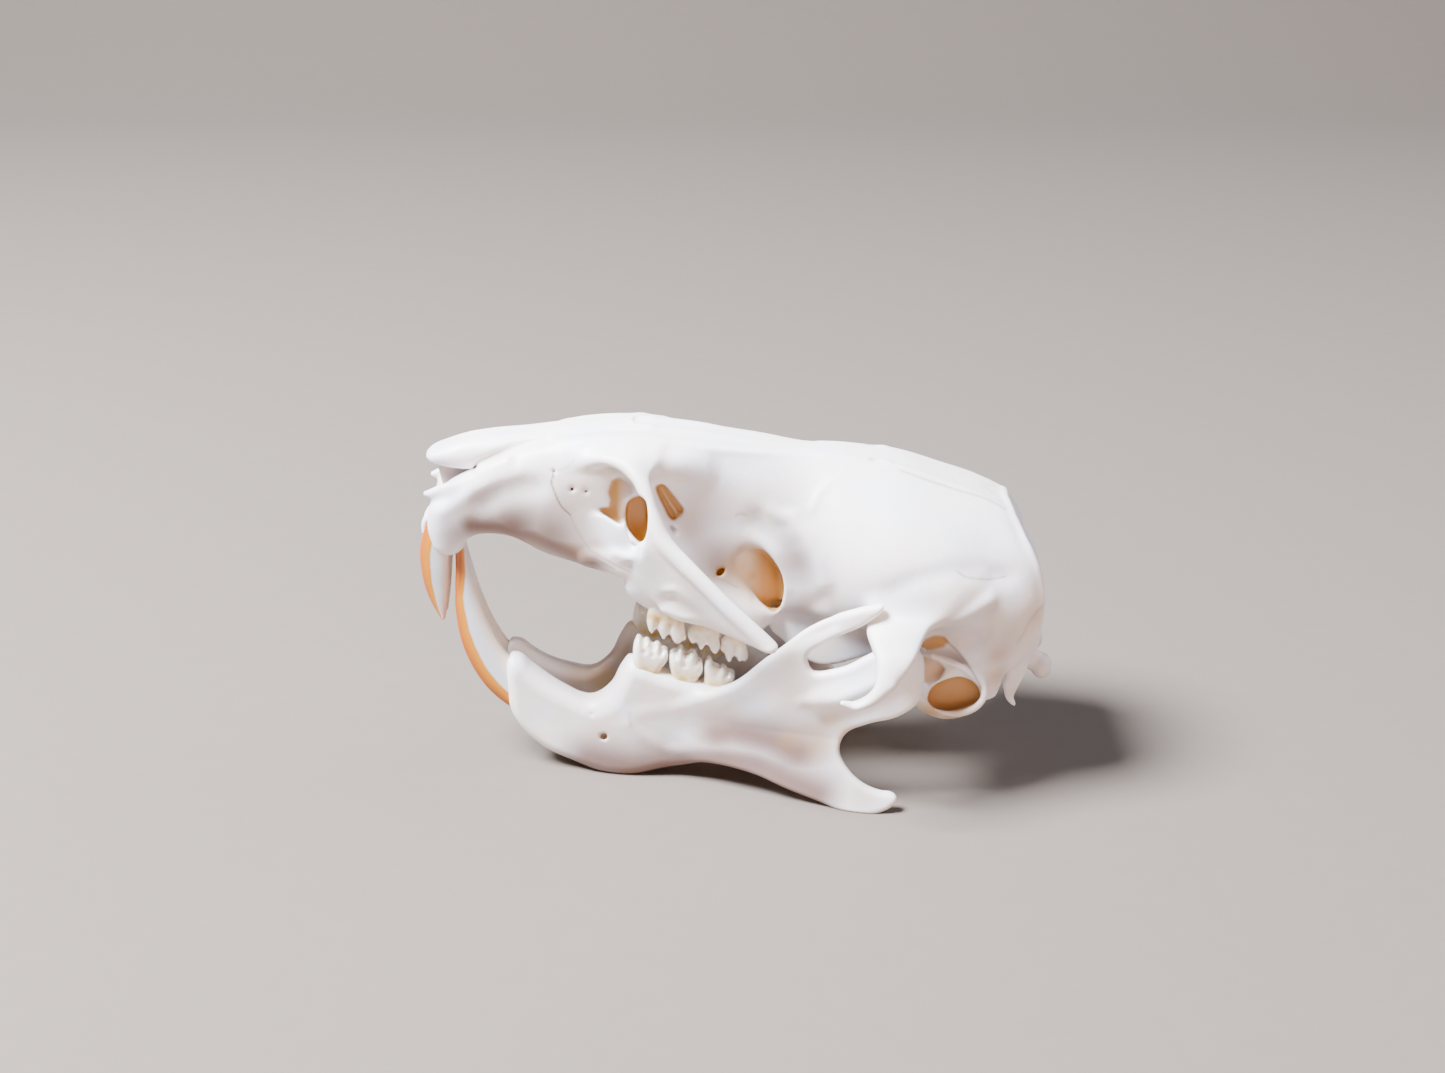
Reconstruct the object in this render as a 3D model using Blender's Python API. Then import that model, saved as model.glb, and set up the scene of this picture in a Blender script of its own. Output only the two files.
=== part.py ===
"""Skull of an adult golden hamster, life size: cranium, the two halves of the lower jaw and four incisors.

The bones are shaped in millimetres and written out in metres. The snout points along -X, the animal's left
side is at -Y, +Z is up, and the lower jaw rests on Z = 0. Paired pieces are shaped at +Y and mirrored.
"""

import math

import bmesh
import bpy
import numpy as np
from mathutils import Matrix

METRES_PER_MM = 0.001
PIECE_GAP = 0.3
GRAIN = 0.22
FLOOR_BLOCK = (60.0, 40.0, 3.0)
CRANIUM_TRIANGLES = 5400
JAW_TRIANGLES = 1500
INCISOR_TRIANGLES = 240
CURVE_POINTS = 40
VAULT_RINGS = 60
VAULT_RING_POINTS = 40
NASAL_RINGS = 24
NASAL_RING_POINTS = 20
LIMB_RINGS_PER_MM = 2.5
LIMB_RING_POINTS = 16
LIMB_CAP_RINGS = 3
LIMB_CAP_END = 3.2
LIMB_THINNEST = 0.05
BALL_SUBDIVISIONS = 3
PLATE_ROWS, PLATE_COLUMNS = 24, 14
BLADE_POINTS = 90
BLADE_KNOTS = 80
SMOOTHING = 2

BONE_COLOUR = (0.86, 0.82, 0.76, 1.0)
BONE_ROUGHNESS = 0.42
ENAMEL_COLOUR = (0.80, 0.36, 0.06, 1.0)
ENAMEL_ROUGHNESS = 0.25

# Outline of the braincase, face and snout in sections across the skull. Each row is a place x along it, the
# height of its top, four (out, height) corners from the roof's edge down to the floor's, and its bottom.
VAULT_SECTIONS = (
    (-17.3, 16.9, (1.2, 16.7), (1.7, 16.2), (1.9, 15.5), (1.6, 14.7), 14.7),
    (-16.0, 18.0, (1.6, 17.7), (2.1, 17.0), (2.5, 15.7), (2.1, 14.2), 14.5),
    (-14.7, 18.9, (1.9, 18.6), (2.4, 17.8), (2.8, 16.2), (2.3, 14.8), 15.1),
    (-13.0, 19.8, (2.1, 19.2), (2.7, 18.3), (3.0, 16.5), (2.4, 14.7), 15.0),
    (-11.0, 20.3, (2.3, 19.7), (2.9, 18.7), (3.2, 16.6), (2.5, 13.7), 14.2),
    (-9.0, 20.55, (2.2, 20.2), (2.8, 19.3), (3.1, 16.6), (2.7, 13.1), 13.5),
    (-7.0, 20.65, (2.0, 20.45), (2.6, 19.6), (2.8, 16.6), (2.8, 12.5), 12.8),
    (-5.3, 20.7, (1.9, 20.5), (2.5, 19.5), (2.6, 16.5), (2.6, 11.6), 11.8),
    (-3.0, 20.5, (1.75, 20.35), (2.4, 19.2), (2.4, 16.2), (2.5, 11.0), 11.2),
    (0.7, 19.85, (1.5, 19.75), (2.3, 18.4), (2.6, 15.0), (2.6, 10.4), 10.6),
    (3.6, 19.35, (1.1, 19.25), (2.8, 17.6), (4.0, 14.0), (3.2, 10.2), 10.5),
    (6.4, 19.1, (1.2, 19.0), (4.0, 17.0), (5.7, 13.4), (4.1, 9.9), 9.8),
    (9.3, 18.6, (1.4, 18.5), (4.6, 16.8), (6.6, 12.8), (4.9, 9.3), 8.8),
    (11.6, 17.8, (1.6, 17.7), (4.9, 16.1), (6.9, 12.2), (5.2, 8.6), 8.1),
    (14.0, 16.9, (1.8, 16.8), (4.8, 15.1), (6.4, 11.8), (5.0, 7.8), 7.4),
    (15.3, 16.1, (2.1, 15.9), (4.4, 14.2), (5.9, 11.4), (4.5, 7.4), 7.1),
    (16.2, 15.0, (2.2, 14.6), (4.0, 13.0), (5.0, 10.8), (3.8, 7.2), 6.9),
    (17.0, 13.3, (1.9, 13.0), (3.2, 11.7), (3.9, 10.2), (2.9, 7.4), 7.1),
    (17.6, 11.2, (1.3, 11.0), (2.1, 10.4), (2.5, 9.5), (2.0, 7.8), 7.6),
)

# The pair of nasal bones: x, half width and height of the top.
NASAL_SECTIONS = (
    (-17.9, 0.45, 18.9),
    (-17.6, 0.95, 19.1),
    (-16.6, 1.3, 19.5),
    (-14.8, 1.5, 19.95),
    (-12.0, 1.5, 20.3),
    (-9.0, 1.3, 20.7),
    (-6.0, 0.9, 20.9),
)
NASAL_DEPTH = 0.95
# Half of one nasal section, as (share of the half width, drop below the top) corners.
NASAL_CORNERS = ((0.7, 0.1), (1.0, 0.5), (0.75, NASAL_DEPTH))
NASAL_FLOOR_RISE = 0.15

# Each limb of bone is a row of (x, out, height, half depth seen from the side, half width seen from above).
INCISOR_SHEATH = (
    (-11.0, 1.9, 17.4, 0.9, 0.9),
    (-13.5, 1.7, 17.5, 1.1, 1.1),
    (-15.4, 1.6, 16.7, 1.25, 1.15),
    (-16.5, 1.5, 15.5, 1.3, 1.1),
    (-16.7, 1.4, 14.75, 1.15, 1.0),
)
SNOUT_POINT = (
    (-14.2, 2.0, 18.4, 0.6, 0.45),
    (-16.2, 1.8, 17.75, 0.45, 0.35),
    (-17.75, 1.6, 17.0, 0.2, 0.25),
)
SNOUT_SEAM = (
    (-17.3, 0.6, 16.1, 0.4, 0.5),
    (-17.75, 0.65, 15.3, 0.3, 0.45),
    (-17.6, 0.7, 14.6, 0.3, 0.45),
)
UPPER_TOOTH_BED = (
    (-8.4, 2.5, 13.7, 0.7, 0.6),
    (-7.0, 2.8, 13.3, 0.7, 0.8),
    (-6.0, 2.85, 13.1, 0.95, 0.9),
    (-5.3, 2.85, 12.5, 1.5, 1.0),
    (-4.6, 2.8, 11.8, 1.5, 1.0),
    (-3.0, 2.8, 11.3, 1.3, 1.05),
    (-1.0, 2.8, 10.6, 1.3, 1.05),
    (0.7, 2.75, 10.0, 1.2, 1.0),
    (1.6, 2.6, 10.1, 0.8, 0.7),
)
PALATE = ((-7.0, 0.0, 12.8, 0.5, 2.2), (-3.0, 0.0, 11.2, 0.6, 2.2), (1.6, 0.0, 9.9, 0.5, 2.0))
CHEEK_BAR = (
    (-9.6, 2.9, 18.9, 0.5, 0.5),
    (-8.6, 3.2, 19.35, 0.32, 0.4),
    (-7.4, 3.5, 19.65, 0.28, 0.4),
    (-6.2, 4.1, 19.5, 0.32, 0.42),
    (-5.3, 4.9, 18.65, 0.42, 0.45),
    (-4.75, 5.7, 17.35, 0.36, 0.42),
    (-4.1, 6.3, 16.1, 0.38, 0.42),
    (-3.1, 6.9, 15.0, 0.35, 0.4),
    (-1.9, 7.45, 13.9, 0.35, 0.4),
    (-0.6, 7.9, 12.7, 0.35, 0.38),
    (0.7, 8.2, 11.5, 0.33, 0.36),
    (1.85, 8.4, 10.35, 0.26, 0.28),
)
FRONT_STRUT = (
    (-8.6, 2.9, 13.6, 0.35, 0.35),
    (-7.0, 3.3, 13.8, 0.35, 0.35),
    (-5.7, 4.1, 14.2, 0.35, 0.35),
    (-5.0, 5.1, 15.6, 0.35, 0.35),
)
CHEEK_HOOK = (
    (10.0, 6.0, 12.4, 2.2, 0.9),
    (9.1, 7.4, 11.8, 2.0, 0.7),
    (8.5, 8.5, 10.8, 1.6, 0.55),
    (8.5, 9.1, 9.5, 0.98, 0.45),
    (8.05, 9.4, 8.35, 0.68, 0.42),
    (7.1, 9.45, 7.55, 0.42, 0.4),
    (5.95, 9.4, 7.45, 0.26, 0.3),
)
MASTOID = (
    (13.4, 5.6, 9.8, 1.5, 1.0),
    (14.0, 5.5, 8.0, 1.2, 0.9),
    (14.35, 5.3, 6.5, 0.5, 0.5),
)
EAR_SPUR = (
    (15.2, 4.4, 8.8, 0.8, 0.6),
    (15.8, 4.4, 7.0, 0.5, 0.5),
    (15.95, 4.4, 5.5, 0.3, 0.3),
    (16.15, 4.4, 5.0, 0.2, 0.25),
)
NECK_CONDYLE = ((16.9, 1.5, 8.6, 0.6, 0.6), (17.2, 1.8, 7.4, 0.8, 0.75), (17.3, 2.0, 6.5, 0.9, 0.8))
NECK_CREST = (
    (15.35, 0.0, 16.05, 0.25, 0.3),
    (15.2, 2.0, 15.85, 0.25, 0.3),
    (15.1, 3.8, 14.9, 0.25, 0.3),
    (15.5, 4.9, 13.2, 0.25, 0.3),
    (15.8, 5.1, 11.4, 0.25, 0.3),
    (15.7, 5.0, 9.6, 0.3, 0.35),
    (15.2, 5.0, 8.0, 0.3, 0.4),
)

# Thin plates of bone are ruled between two edges of (x, out, height) points.
CHEEK_PLATE_REAR = (
    (-4.75, 5.65, 17.2),
    (-4.1, 6.3, 16.0),
    (-3.1, 6.9, 14.95),
    (-1.9, 7.45, 13.85),
    (-0.6, 7.9, 12.65),
    (0.7, 8.2, 11.45),
    (1.8, 8.38, 10.45),
)
CHEEK_PLATE_FRONT = (
    (-5.0, 5.55, 16.5),
    (-5.3, 5.1, 15.0),
    (-5.8, 4.0, 13.6),
    (-5.5, 3.6, 12.3),
    (-4.2, 4.0, 11.2),
    (-1.5, 6.2, 11.0),
    (1.6, 8.2, 10.2),
)
BROW_INNER = (
    (-9.6, 2.0, 19.5),
    (-8.4, 1.9, 19.95),
    (-7.2, 1.8, 20.15),
    (-5.6, 1.8, 20.2),
    (-4.4, 2.0, 20.0),
)
BROW_OUTER = (
    (-9.6, 2.8, 18.9),
    (-8.6, 3.2, 19.4),
    (-7.4, 3.5, 19.65),
    (-6.2, 4.0, 19.45),
    (-5.2, 4.7, 18.7),
)
WING_TOP = ((1.4, 2.3, 10.2), (4.4, 2.7, 10.2), (7.6, 3.3, 9.8))
WING_EDGE = ((2.0, 2.3, 8.7), (4.6, 2.9, 6.9), (8.0, 3.5, 7.9))
THROAT_TOP = ((1.8, 1.2, 10.4), (5.0, 1.2, 10.2), (8.6, 1.4, 9.4))
THROAT_EDGE = ((2.6, 1.2, 9.2), (5.6, 1.2, 7.8), (8.4, 1.6, 7.2))
PLATE_HALF = 0.28

BULLA_PLACE = (12.0, 4.5, 7.0)
BULLA_RADII = (2.4, 1.9, 2.2)
EAR_PLACE = (12.3, 6.1, 6.7)
EAR_RING = (1.7, 1.35)
EAR_RING_HALF = 0.32
EAR_RING_LEAN = 0.25
EAR_RING_STATIONS = 25
CHEEK_ROOT_PLACE = (-5.7, 2.9, 13.7)
CHEEK_ROOT_RADII = (1.6, 1.0, 1.4)

NOSTRIL = ((-19.0, 0.0, 17.3, 1.0, 1.05), (-16.0, 0.0, 17.6, 1.0, 1.1), (-12.5, 0.0, 17.8, 0.5, 0.6))
NOSTRIL_NOTCH = ((-18.4, 1.9, 18.1, 0.6, 1.2), (-16.4, 1.9, 18.25, 0.42, 1.2), (-14.6, 1.9, 18.6, 0.12, 1.2))
ORBIT_HOLE_PLACE = (1.7, 3.0, 12.1)
ORBIT_HOLE_RADII = (1.15, 1.5, 1.5)
EAR_HOLE_RADII = (1.35, 1.5, 1.0)
SPINE_HOLE_PLACE = (17.9, 0.0, 9.4)
SPINE_HOLE_RADII = (2.4, 1.9, 1.5)

# Cheek teeth: the row's ends as (x, height) on the bone's edge, and the share of it that each tooth takes.
UPPER_ROW = ((-5.15, 10.4), (0.75, 8.6))
LOWER_ROW = ((-5.95, 7.4), (-0.1, 5.85))
UPPER_ROW_OUT = 2.75
LOWER_ROW_OUT = 2.65
TOOTH_SHARES = (0.38, 0.34, 0.28)
CUSP_PAIRS = (3, 2, 2)
CROWN_HEIGHT = 1.0
CROWN_HALF_WIDTH = 0.72
CROWN_HALF_LENGTH = 0.46
CROWN_HALF_HEIGHT = 0.62
CROWN_RISE, CUSP_RISE = 0.45, 0.85
CUSP_RADII = (0.3, 0.36, 0.5)
CUSP_OUT = 0.42
CUSP_STAGGER = 0.08

# The two halves of the lower jaw are loose at the chin: the right one stands this far ahead of the left.
RIGHT_JAW_AHEAD = 0.2

# Lower jaw, seen from the side as (x, height) outlines: the thick front body and the thin rear blade.
JAW_BODY = (
    (-13.1, 7.4),
    (-11.7, 6.1),
    (-10.1, 4.8),
    (-8.5, 4.1),
    (-7.5, 4.6),
    (-6.8, 6.0),
    (-6.2, 7.3),
    (-4.0, 7.0),
    (-2.0, 6.3),
    (-0.2, 5.9),
    (1.4, 5.6),
    (2.2, 4.0),
    (1.0, 1.6),
    (-2.2, 0.95),
    (-4.6, 0.3),
    (-6.2, -0.1),
    (-7.8, -0.1),
    (-9.9, 0.45),
    (-11.4, 1.0),
    (-12.6, 2.0),
    (-13.4, 3.4),
    (-13.6, 5.2),
)
JAW_BLADE = (
    (-3.0, 4.6),
    (-0.2, 6.6),
    (1.7, 8.7),
    (3.4, 10.4),
    (5.9, 11.9),
    (7.9, 12.3),
    (7.4, 11.3),
    (5.0, 9.9),
    (3.9, 8.9),
    (4.1, 8.0),
    (5.7, 8.3),
    (7.4, 9.4),
    (8.8, 10.1),
    (10.0, 9.6),
    (10.4, 8.0),
    (10.1, 6.5),
    (9.0, 5.6),
    (7.4, 5.1),
    (6.1, 4.3),
    (5.8, 3.4),
    (6.4, 2.1),
    (7.6, 1.3),
    (9.1, 1.0),
    (9.0, 0.3),
    (7.6, -0.15),
    (6.0, -0.15),
    (3.6, 0.5),
    (1.0, 1.15),
    (-2.2, 1.35),
)
# How far out from the middle plane each lies: (x, out) knots.
JAW_BODY_OUT = (
    (-13.6, 1.15),
    (-12.0, 1.35),
    (-10.0, 1.85),
    (-8.5, 2.3),
    (-7.0, 2.6),
    (-3.0, 2.9),
    (2.5, 3.9),
)
JAW_BLADE_OUT = ((-3.5, 3.9), (-1.0, 4.6), (1.0, 5.05), (3.0, 5.7), (5.0, 6.3), (7.0, 6.75), (10.5, 7.05))
JAW_BODY_HALF = 0.95
# How steeply the upper edge of the front body leans: (x, rise per mm outwards) knots.
JAW_BODY_LEAN = (
    (-13.6, -0.55),
    (-11.5, -0.55),
    (-9.5, -0.05),
    (-8.0, 0.5),
    (-6.3, 0.5),
    (-4.5, 0.0),
    (2.5, 0.0),
)
LEAN_FROM, LEAN_FULL = 1.5, 4.0
JAW_BLADE_HALF = 0.42
BLADE_RIM_SHARE = 0.45
FLARE_HEIGHT = 4.0
FLARE_PER_MM = 0.22
CONDYLE_CLEARANCE = 0.4
CONDYLE_NECK = ((4.8, 6.2, 6.0, 0.8, 0.5), (7.4, 6.8, 7.3, 0.9, 0.55), (9.3, 7.0, 9.2, 0.85, 0.62))
MUSCLE_RIDGE = (
    (-6.3, 3.2, 3.8, 0.35, 0.4),
    (-4.6, 3.7, 4.5, 0.35, 0.4),
    (-2.4, 4.2, 5.4, 0.35, 0.4),
    (-0.2, 4.7, 6.5, 0.3, 0.4),
    (1.7, 5.3, 8.4, 0.3, 0.4),
)
LOWER_RIDGE = (
    (-6.3, 3.2, 3.6, 0.3, 0.35),
    (-4.6, 3.6, 2.3, 0.35, 0.4),
    (-2.2, 4.2, 1.65, 0.35, 0.4),
    (1.3, 5.7, 1.4, 0.4, 0.4),
    (4.7, 7.1, 0.6, 0.4, 0.45),
    (6.8, 7.6, 0.2, 0.4, 0.5),
)

UPPER_INCISOR = (
    (-15.9, 1.0, 16.4, 0.8, 0.5),
    (-16.8, 0.85, 15.0, 0.9, 0.55),
    (-17.45, 0.75, 13.4, 0.88, 0.55),
    (-17.52, 0.72, 12.0, 0.82, 0.55),
    (-17.47, 0.7, 10.8, 0.66, 0.5),
    (-17.35, 0.68, 9.8, 0.42, 0.45),
    (-17.2, 0.66, 8.9, 0.12, 0.4),
)
LOWER_INCISOR = (
    (-11.8, 1.15, 3.5, 1.1, 0.52),
    (-13.9, 1.1, 5.35, 1.12, 0.52),
    (-15.1, 1.0, 7.5, 1.02, 0.52),
    (-15.65, 0.9, 9.65, 0.8, 0.5),
    (-15.85, 0.82, 11.6, 0.48, 0.5),
    (-15.95, 0.76, 13.2, 0.18, 0.45),
)


def through(points, count):
    """Returns count points, evenly spaced by length, on a smooth curve through the given ones."""
    points = np.asarray(points, float)
    steps = np.linalg.norm(np.diff(points, axis=0), axis=1)
    along = np.concatenate([[0.0], np.cumsum(steps)])
    slopes = np.gradient(points, along, axis=0)
    places = np.linspace(0.0, along[-1], count)
    index = np.clip(np.searchsorted(along, places, side="right") - 1, 0, len(points) - 2)
    width = (along[index + 1] - along[index])[:, None]
    t = (places - along[index])[:, None] / width
    start = (1 + 2 * t) * (1 - t) ** 2 * points[index] + t * (1 - t) ** 2 * width * slopes[index]
    end = t**2 * (3 - 2 * t) * points[index + 1] + t**2 * (t - 1) * width * slopes[index + 1]
    return start + end


def ring_through(points, count):
    """Returns count points on a smooth closed curve through the given ones."""
    points = [tuple(p) for p in points]
    lap = 3
    wrapped = points[-lap:] + points + points[:lap]
    dense = through(wrapped, CURVE_POINTS * len(wrapped))
    near_end = 2 * lap * CURVE_POINTS
    first = np.linalg.norm(dense - wrapped[lap], axis=1)[:near_end].argmin()
    last = len(dense) - near_end + np.linalg.norm(dense - wrapped[-lap], axis=1)[-near_end:].argmin()
    return through(dense[first : last + 1 : 4], count + 1)[:-1]


def mesh_of(rings):
    """Bridges rings of points, in order, into one closed mesh."""
    made = bmesh.new()
    rows = [[made.verts.new(point) for point in ring] for ring in rings]
    for row in rows:
        for a, b in zip(row, row[1:] + row[:1]):
            made.edges.new((a, b))
    for first, second in zip(rows, rows[1:]):
        for k in range(len(first)):
            n = (k + 1) % len(first)
            made.faces.new((first[k], first[n], second[n], second[k]))
    made.faces.new(rows[0][::-1])
    made.faces.new(rows[-1])
    bmesh.ops.recalc_face_normals(made, faces=made.faces)
    return made


def limb(stations, extra=0.0):
    """A rounded limb of bone along its stations, thicker all round by extra."""
    stations = np.asarray(stations, float)
    length = np.linalg.norm(np.diff(stations[:, :3], axis=0), axis=1).sum()
    path = through(stations, max(4, int(length * LIMB_RINGS_PER_MM)))
    path[:, 3:] = np.maximum(path[:, 3:], LIMB_THINNEST) + extra
    heading = np.gradient(path[:, :3], axis=0)
    heading /= np.linalg.norm(heading, axis=1)[:, None]
    across = np.tile((0.0, 1.0, 0.0), (len(path), 1))
    across -= heading * (across * heading).sum(axis=1)[:, None]
    across /= np.linalg.norm(across, axis=1)[:, None]
    depthwise = np.cross(across, heading)
    turns = np.linspace(0, 2 * math.pi, LIMB_RING_POINTS + 1)[:-1]
    rings = []
    for k in range(-LIMB_CAP_RINGS, len(path) + LIMB_CAP_RINGS):
        at = min(max(k, 0), len(path) - 1)
        past = k - at
        lean = abs(past) / LIMB_CAP_END * math.pi / 2
        size = math.cos(lean)
        reach = math.copysign(math.sin(lean), past) * min(path[at, 3], path[at, 4]) if past else 0.0
        centre = path[at, :3] + heading[at] * reach
        rings.append(
            [
                centre
                + depthwise[at] * path[at, 3] * size * math.cos(turn)
                + across[at] * path[at, 4] * size * math.sin(turn)
                for turn in turns
            ]
        )
    return mesh_of(rings)


def ball(place, radii):
    made = bmesh.new()
    bmesh.ops.create_icosphere(made, subdivisions=BALL_SUBDIVISIONS, radius=1.0)
    bmesh.ops.scale(made, vec=radii, verts=made.verts)
    bmesh.ops.translate(made, vec=place, verts=made.verts)
    return made


def ruled_plate(first, second):
    """A thin plate of bone ruled between two edges."""
    a = through(first, PLATE_ROWS)
    b = through(second, PLATE_ROWS)
    shares = np.linspace(0, 1, PLATE_COLUMNS)[None, :, None]
    sheet = a[:, None] * (1 - shares) + b[:, None] * shares
    normal = np.cross(np.gradient(sheet, axis=0), np.gradient(sheet, axis=1))
    normal /= np.linalg.norm(normal, axis=2)[:, :, None] + 1e-9
    outer = sheet + normal * PLATE_HALF
    inner = sheet - normal * PLATE_HALF
    return mesh_of([list(a_row) + list(b_row[::-1]) for a_row, b_row in zip(outer, inner)])


def vault():
    """The main body of the skull, lofted through its sections."""
    rows = []
    for x, top, ridge, flank, side, floor, bottom in VAULT_SECTIONS:
        rows.append((x, top) + ridge + flank + side + floor + (bottom,))
    rings = []
    for x, top, ry, rz, fy, fz, sy, sz, ly, lz, bottom in through(rows, VAULT_RINGS):
        right = [(ry, rz), (fy, fz), (sy, sz), (ly, lz)]
        left = [(-y, z) for y, z in right[::-1]]
        section = ring_through([(0.0, top)] + right + [(0.0, bottom)] + left, VAULT_RING_POINTS)
        rings.append([(x, y, z) for y, z in section])
    return mesh_of(rings)


def nasals():
    rings = []
    for x, half, top in through(NASAL_SECTIONS, NASAL_RINGS):
        right = [(share * half, top - drop) for share, drop in NASAL_CORNERS]
        left = [(-y, z) for y, z in right[::-1]]
        floor = (0.0, top - NASAL_DEPTH + NASAL_FLOOR_RISE)
        section = ring_through([(0.0, top)] + right + [floor] + left, NASAL_RING_POINTS)
        rings.append([(x, y, z) for y, z in section])
    return mesh_of(rings)


def ear_ring():
    """The raised rim of the ear opening."""
    turns = np.linspace(0, 2 * math.pi, EAR_RING_STATIONS)
    x, y, z = EAR_PLACE
    stations = [
        (
            x + EAR_RING[0] * math.cos(turn),
            y - EAR_RING_LEAN * math.sin(turn),
            z + EAR_RING[1] * math.sin(turn),
            EAR_RING_HALF,
            EAR_RING_HALF,
        )
        for turn in turns
    ]
    return limb(stations)


def tooth_row(ends, out, upward):
    """Three cheek teeth whose cusps stand in pairs, upward 1 on the lower jaw and -1 on the upper."""
    made = []
    start, end = np.array(ends[0]), np.array(ends[1])
    reached = 0.0
    for share, pairs in zip(TOOTH_SHARES, CUSP_PAIRS):
        for pair in range(pairs):
            at = start + (end - start) * (reached + share * (pair + 0.5) / pairs)
            crown = (at[0], out, at[1] + upward * CROWN_RISE * CROWN_HEIGHT)
            made.append(ball(crown, (CROWN_HALF_LENGTH, CROWN_HALF_WIDTH, CROWN_HALF_HEIGHT)))
            for side in (-1, 1):
                tip_height = at[1] + upward * CUSP_RISE * CROWN_HEIGHT
                tip = (at[0] + CUSP_STAGGER * side, out + side * CUSP_OUT, tip_height)
                made.append(ball(tip, CUSP_RADII))
        reached += share
    return made


def blade(outline, knots, half, flare=0.0, leans=None):
    """A plate of bone cut to an outline, curved out from the middle plane, with rounded edges."""
    ring = ring_through(outline, BLADE_POINTS)
    made = mesh_of([[(x, -half, z) for x, z in ring], [(x, half, z) for x, z in ring]])
    rims = [edge for edge in made.edges if abs(edge.verts[0].co.y - edge.verts[1].co.y) < 1e-6]
    bmesh.ops.bevel(made, geom=rims, offset=BLADE_RIM_SHARE * half, segments=2, affect="EDGES")
    flat = remeshed([made], 0)
    knots = through(knots, BLADE_KNOTS)
    for vert in flat.vertices:
        x, y, z = vert.co
        vert.co.y = y + np.interp(x, knots[:, 0], knots[:, 1]) + flare * max(0.0, FLARE_HEIGHT - z)
        if leans:
            share = min(1.0, max(0.0, (z - LEAN_FROM) / (LEAN_FULL - LEAN_FROM)))
            vert.co.z = z + share * y * np.interp(x, *zip(*leans))
    curved = bmesh.new()
    curved.from_mesh(flat)
    bpy.data.meshes.remove(flat)
    return curved


def mirrored(made):
    """The same shape on the other side of the middle plane."""
    copy = made.copy()
    bmesh.ops.transform(copy, matrix=Matrix.Diagonal((1, -1, 1, 1)), verts=copy.verts)
    bmesh.ops.reverse_faces(copy, faces=copy.faces)
    return copy


def both(pieces):
    return pieces + [mirrored(piece) for piece in pieces]


def joined(pieces):
    mesh = bpy.data.meshes.new("shape")
    whole = bmesh.new()
    for piece in pieces:
        part = bpy.data.meshes.new("piece")
        piece.to_mesh(part)
        whole.from_mesh(part)
        bpy.data.meshes.remove(part)
    whole.to_mesh(mesh)
    whole.free()
    return mesh


def evaluated(mesh, add_modifiers):
    """The mesh with the modifiers that add_modifiers gives it."""
    holder = bpy.data.objects.new("holder", mesh)
    bpy.context.scene.collection.objects.link(holder)
    add_modifiers(holder)
    graph = bpy.context.evaluated_depsgraph_get()
    result = bpy.data.meshes.new_from_object(holder.evaluated_get(graph), depsgraph=graph)
    bpy.data.objects.remove(holder)
    bpy.data.meshes.remove(mesh)
    return result


def remeshed(pieces, smoothing):
    """Fuses overlapping pieces into one surface and softens their joins."""

    def add(holder):
        remesh = holder.modifiers.new("fuse", "REMESH")
        remesh.mode = "VOXEL"
        remesh.voxel_size = GRAIN
        if smoothing:
            smooth = holder.modifiers.new("soften", "SMOOTH")
            smooth.iterations = smoothing

    return evaluated(joined(pieces), add)


def outer_shell(mesh):
    """Keeps the largest connected surface, which drops sealed hollows inside the bone."""
    made = bmesh.new()
    made.from_mesh(mesh)
    unseen = set(made.verts)
    shells = []
    while unseen:
        shell = {unseen.pop()}
        border = list(shell)
        while border:
            for edge in border.pop().link_edges:
                for vert in edge.verts:
                    if vert in unseen:
                        unseen.discard(vert)
                        shell.add(vert)
                        border.append(vert)
        shells.append(shell)
    largest = max(shells, key=len)
    bmesh.ops.delete(made, geom=[v for v in made.verts if v not in largest], context="VERTS")
    made.to_mesh(mesh)
    made.free()
    return mesh


def cut(mesh, cutters):
    """Takes the cutters out of the mesh, one after another."""
    for cutter in cutters:
        tool_mesh = joined([cutter])
        tool = bpy.data.objects.new("cutter", tool_mesh)
        bpy.context.scene.collection.objects.link(tool)
        tool.hide_render = True
        tool.display_type = "WIRE"

        def add(holder):
            boolean = holder.modifiers.new("cut", "BOOLEAN")
            boolean.operation = "DIFFERENCE"
            boolean.object = tool

        mesh = evaluated(mesh, add)
        bpy.data.objects.remove(tool)
        bpy.data.meshes.remove(tool_mesh)
    return mesh


def thinned(mesh, triangles):
    """Lowers the number of faces to about the given count of triangles."""
    made = bmesh.new()
    made.from_mesh(mesh)
    bmesh.ops.triangulate(made, faces=made.faces)
    made.to_mesh(mesh)
    made.free()
    count = len(mesh.polygons)

    def add(holder):
        decimate = holder.modifiers.new("thin", "DECIMATE")
        decimate.ratio = min(1.0, triangles / count)
        decimate.use_collapse_triangulate = True

    return evaluated(mesh, add)


def finished(name, mesh, material):
    mesh.transform(Matrix.Scale(METRES_PER_MM, 4))
    mesh.name = name
    mesh.shade_smooth()
    mesh.materials.clear()
    mesh.materials.append(material)
    node = bpy.data.objects.new(name, mesh)
    bpy.context.scene.collection.objects.link(node)
    return node


def surface(name, colour, roughness):
    material = bpy.data.materials.new(name)
    material.use_nodes = True
    shader = material.node_tree.nodes["Principled BSDF"]
    shader.inputs["Base Color"].default_value = colour
    shader.inputs["Roughness"].default_value = roughness
    shader.inputs["Metallic"].default_value = 0.0
    return material


def floor_block():
    """Everything below the plane that the skull stands on."""
    made = bmesh.new()
    bmesh.ops.create_cube(made, size=1.0)
    bmesh.ops.scale(made, vec=FLOOR_BLOCK, verts=made.verts)
    bmesh.ops.translate(made, vec=(0.0, 0.0, -FLOOR_BLOCK[2] / 2), verts=made.verts)
    return made


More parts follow.
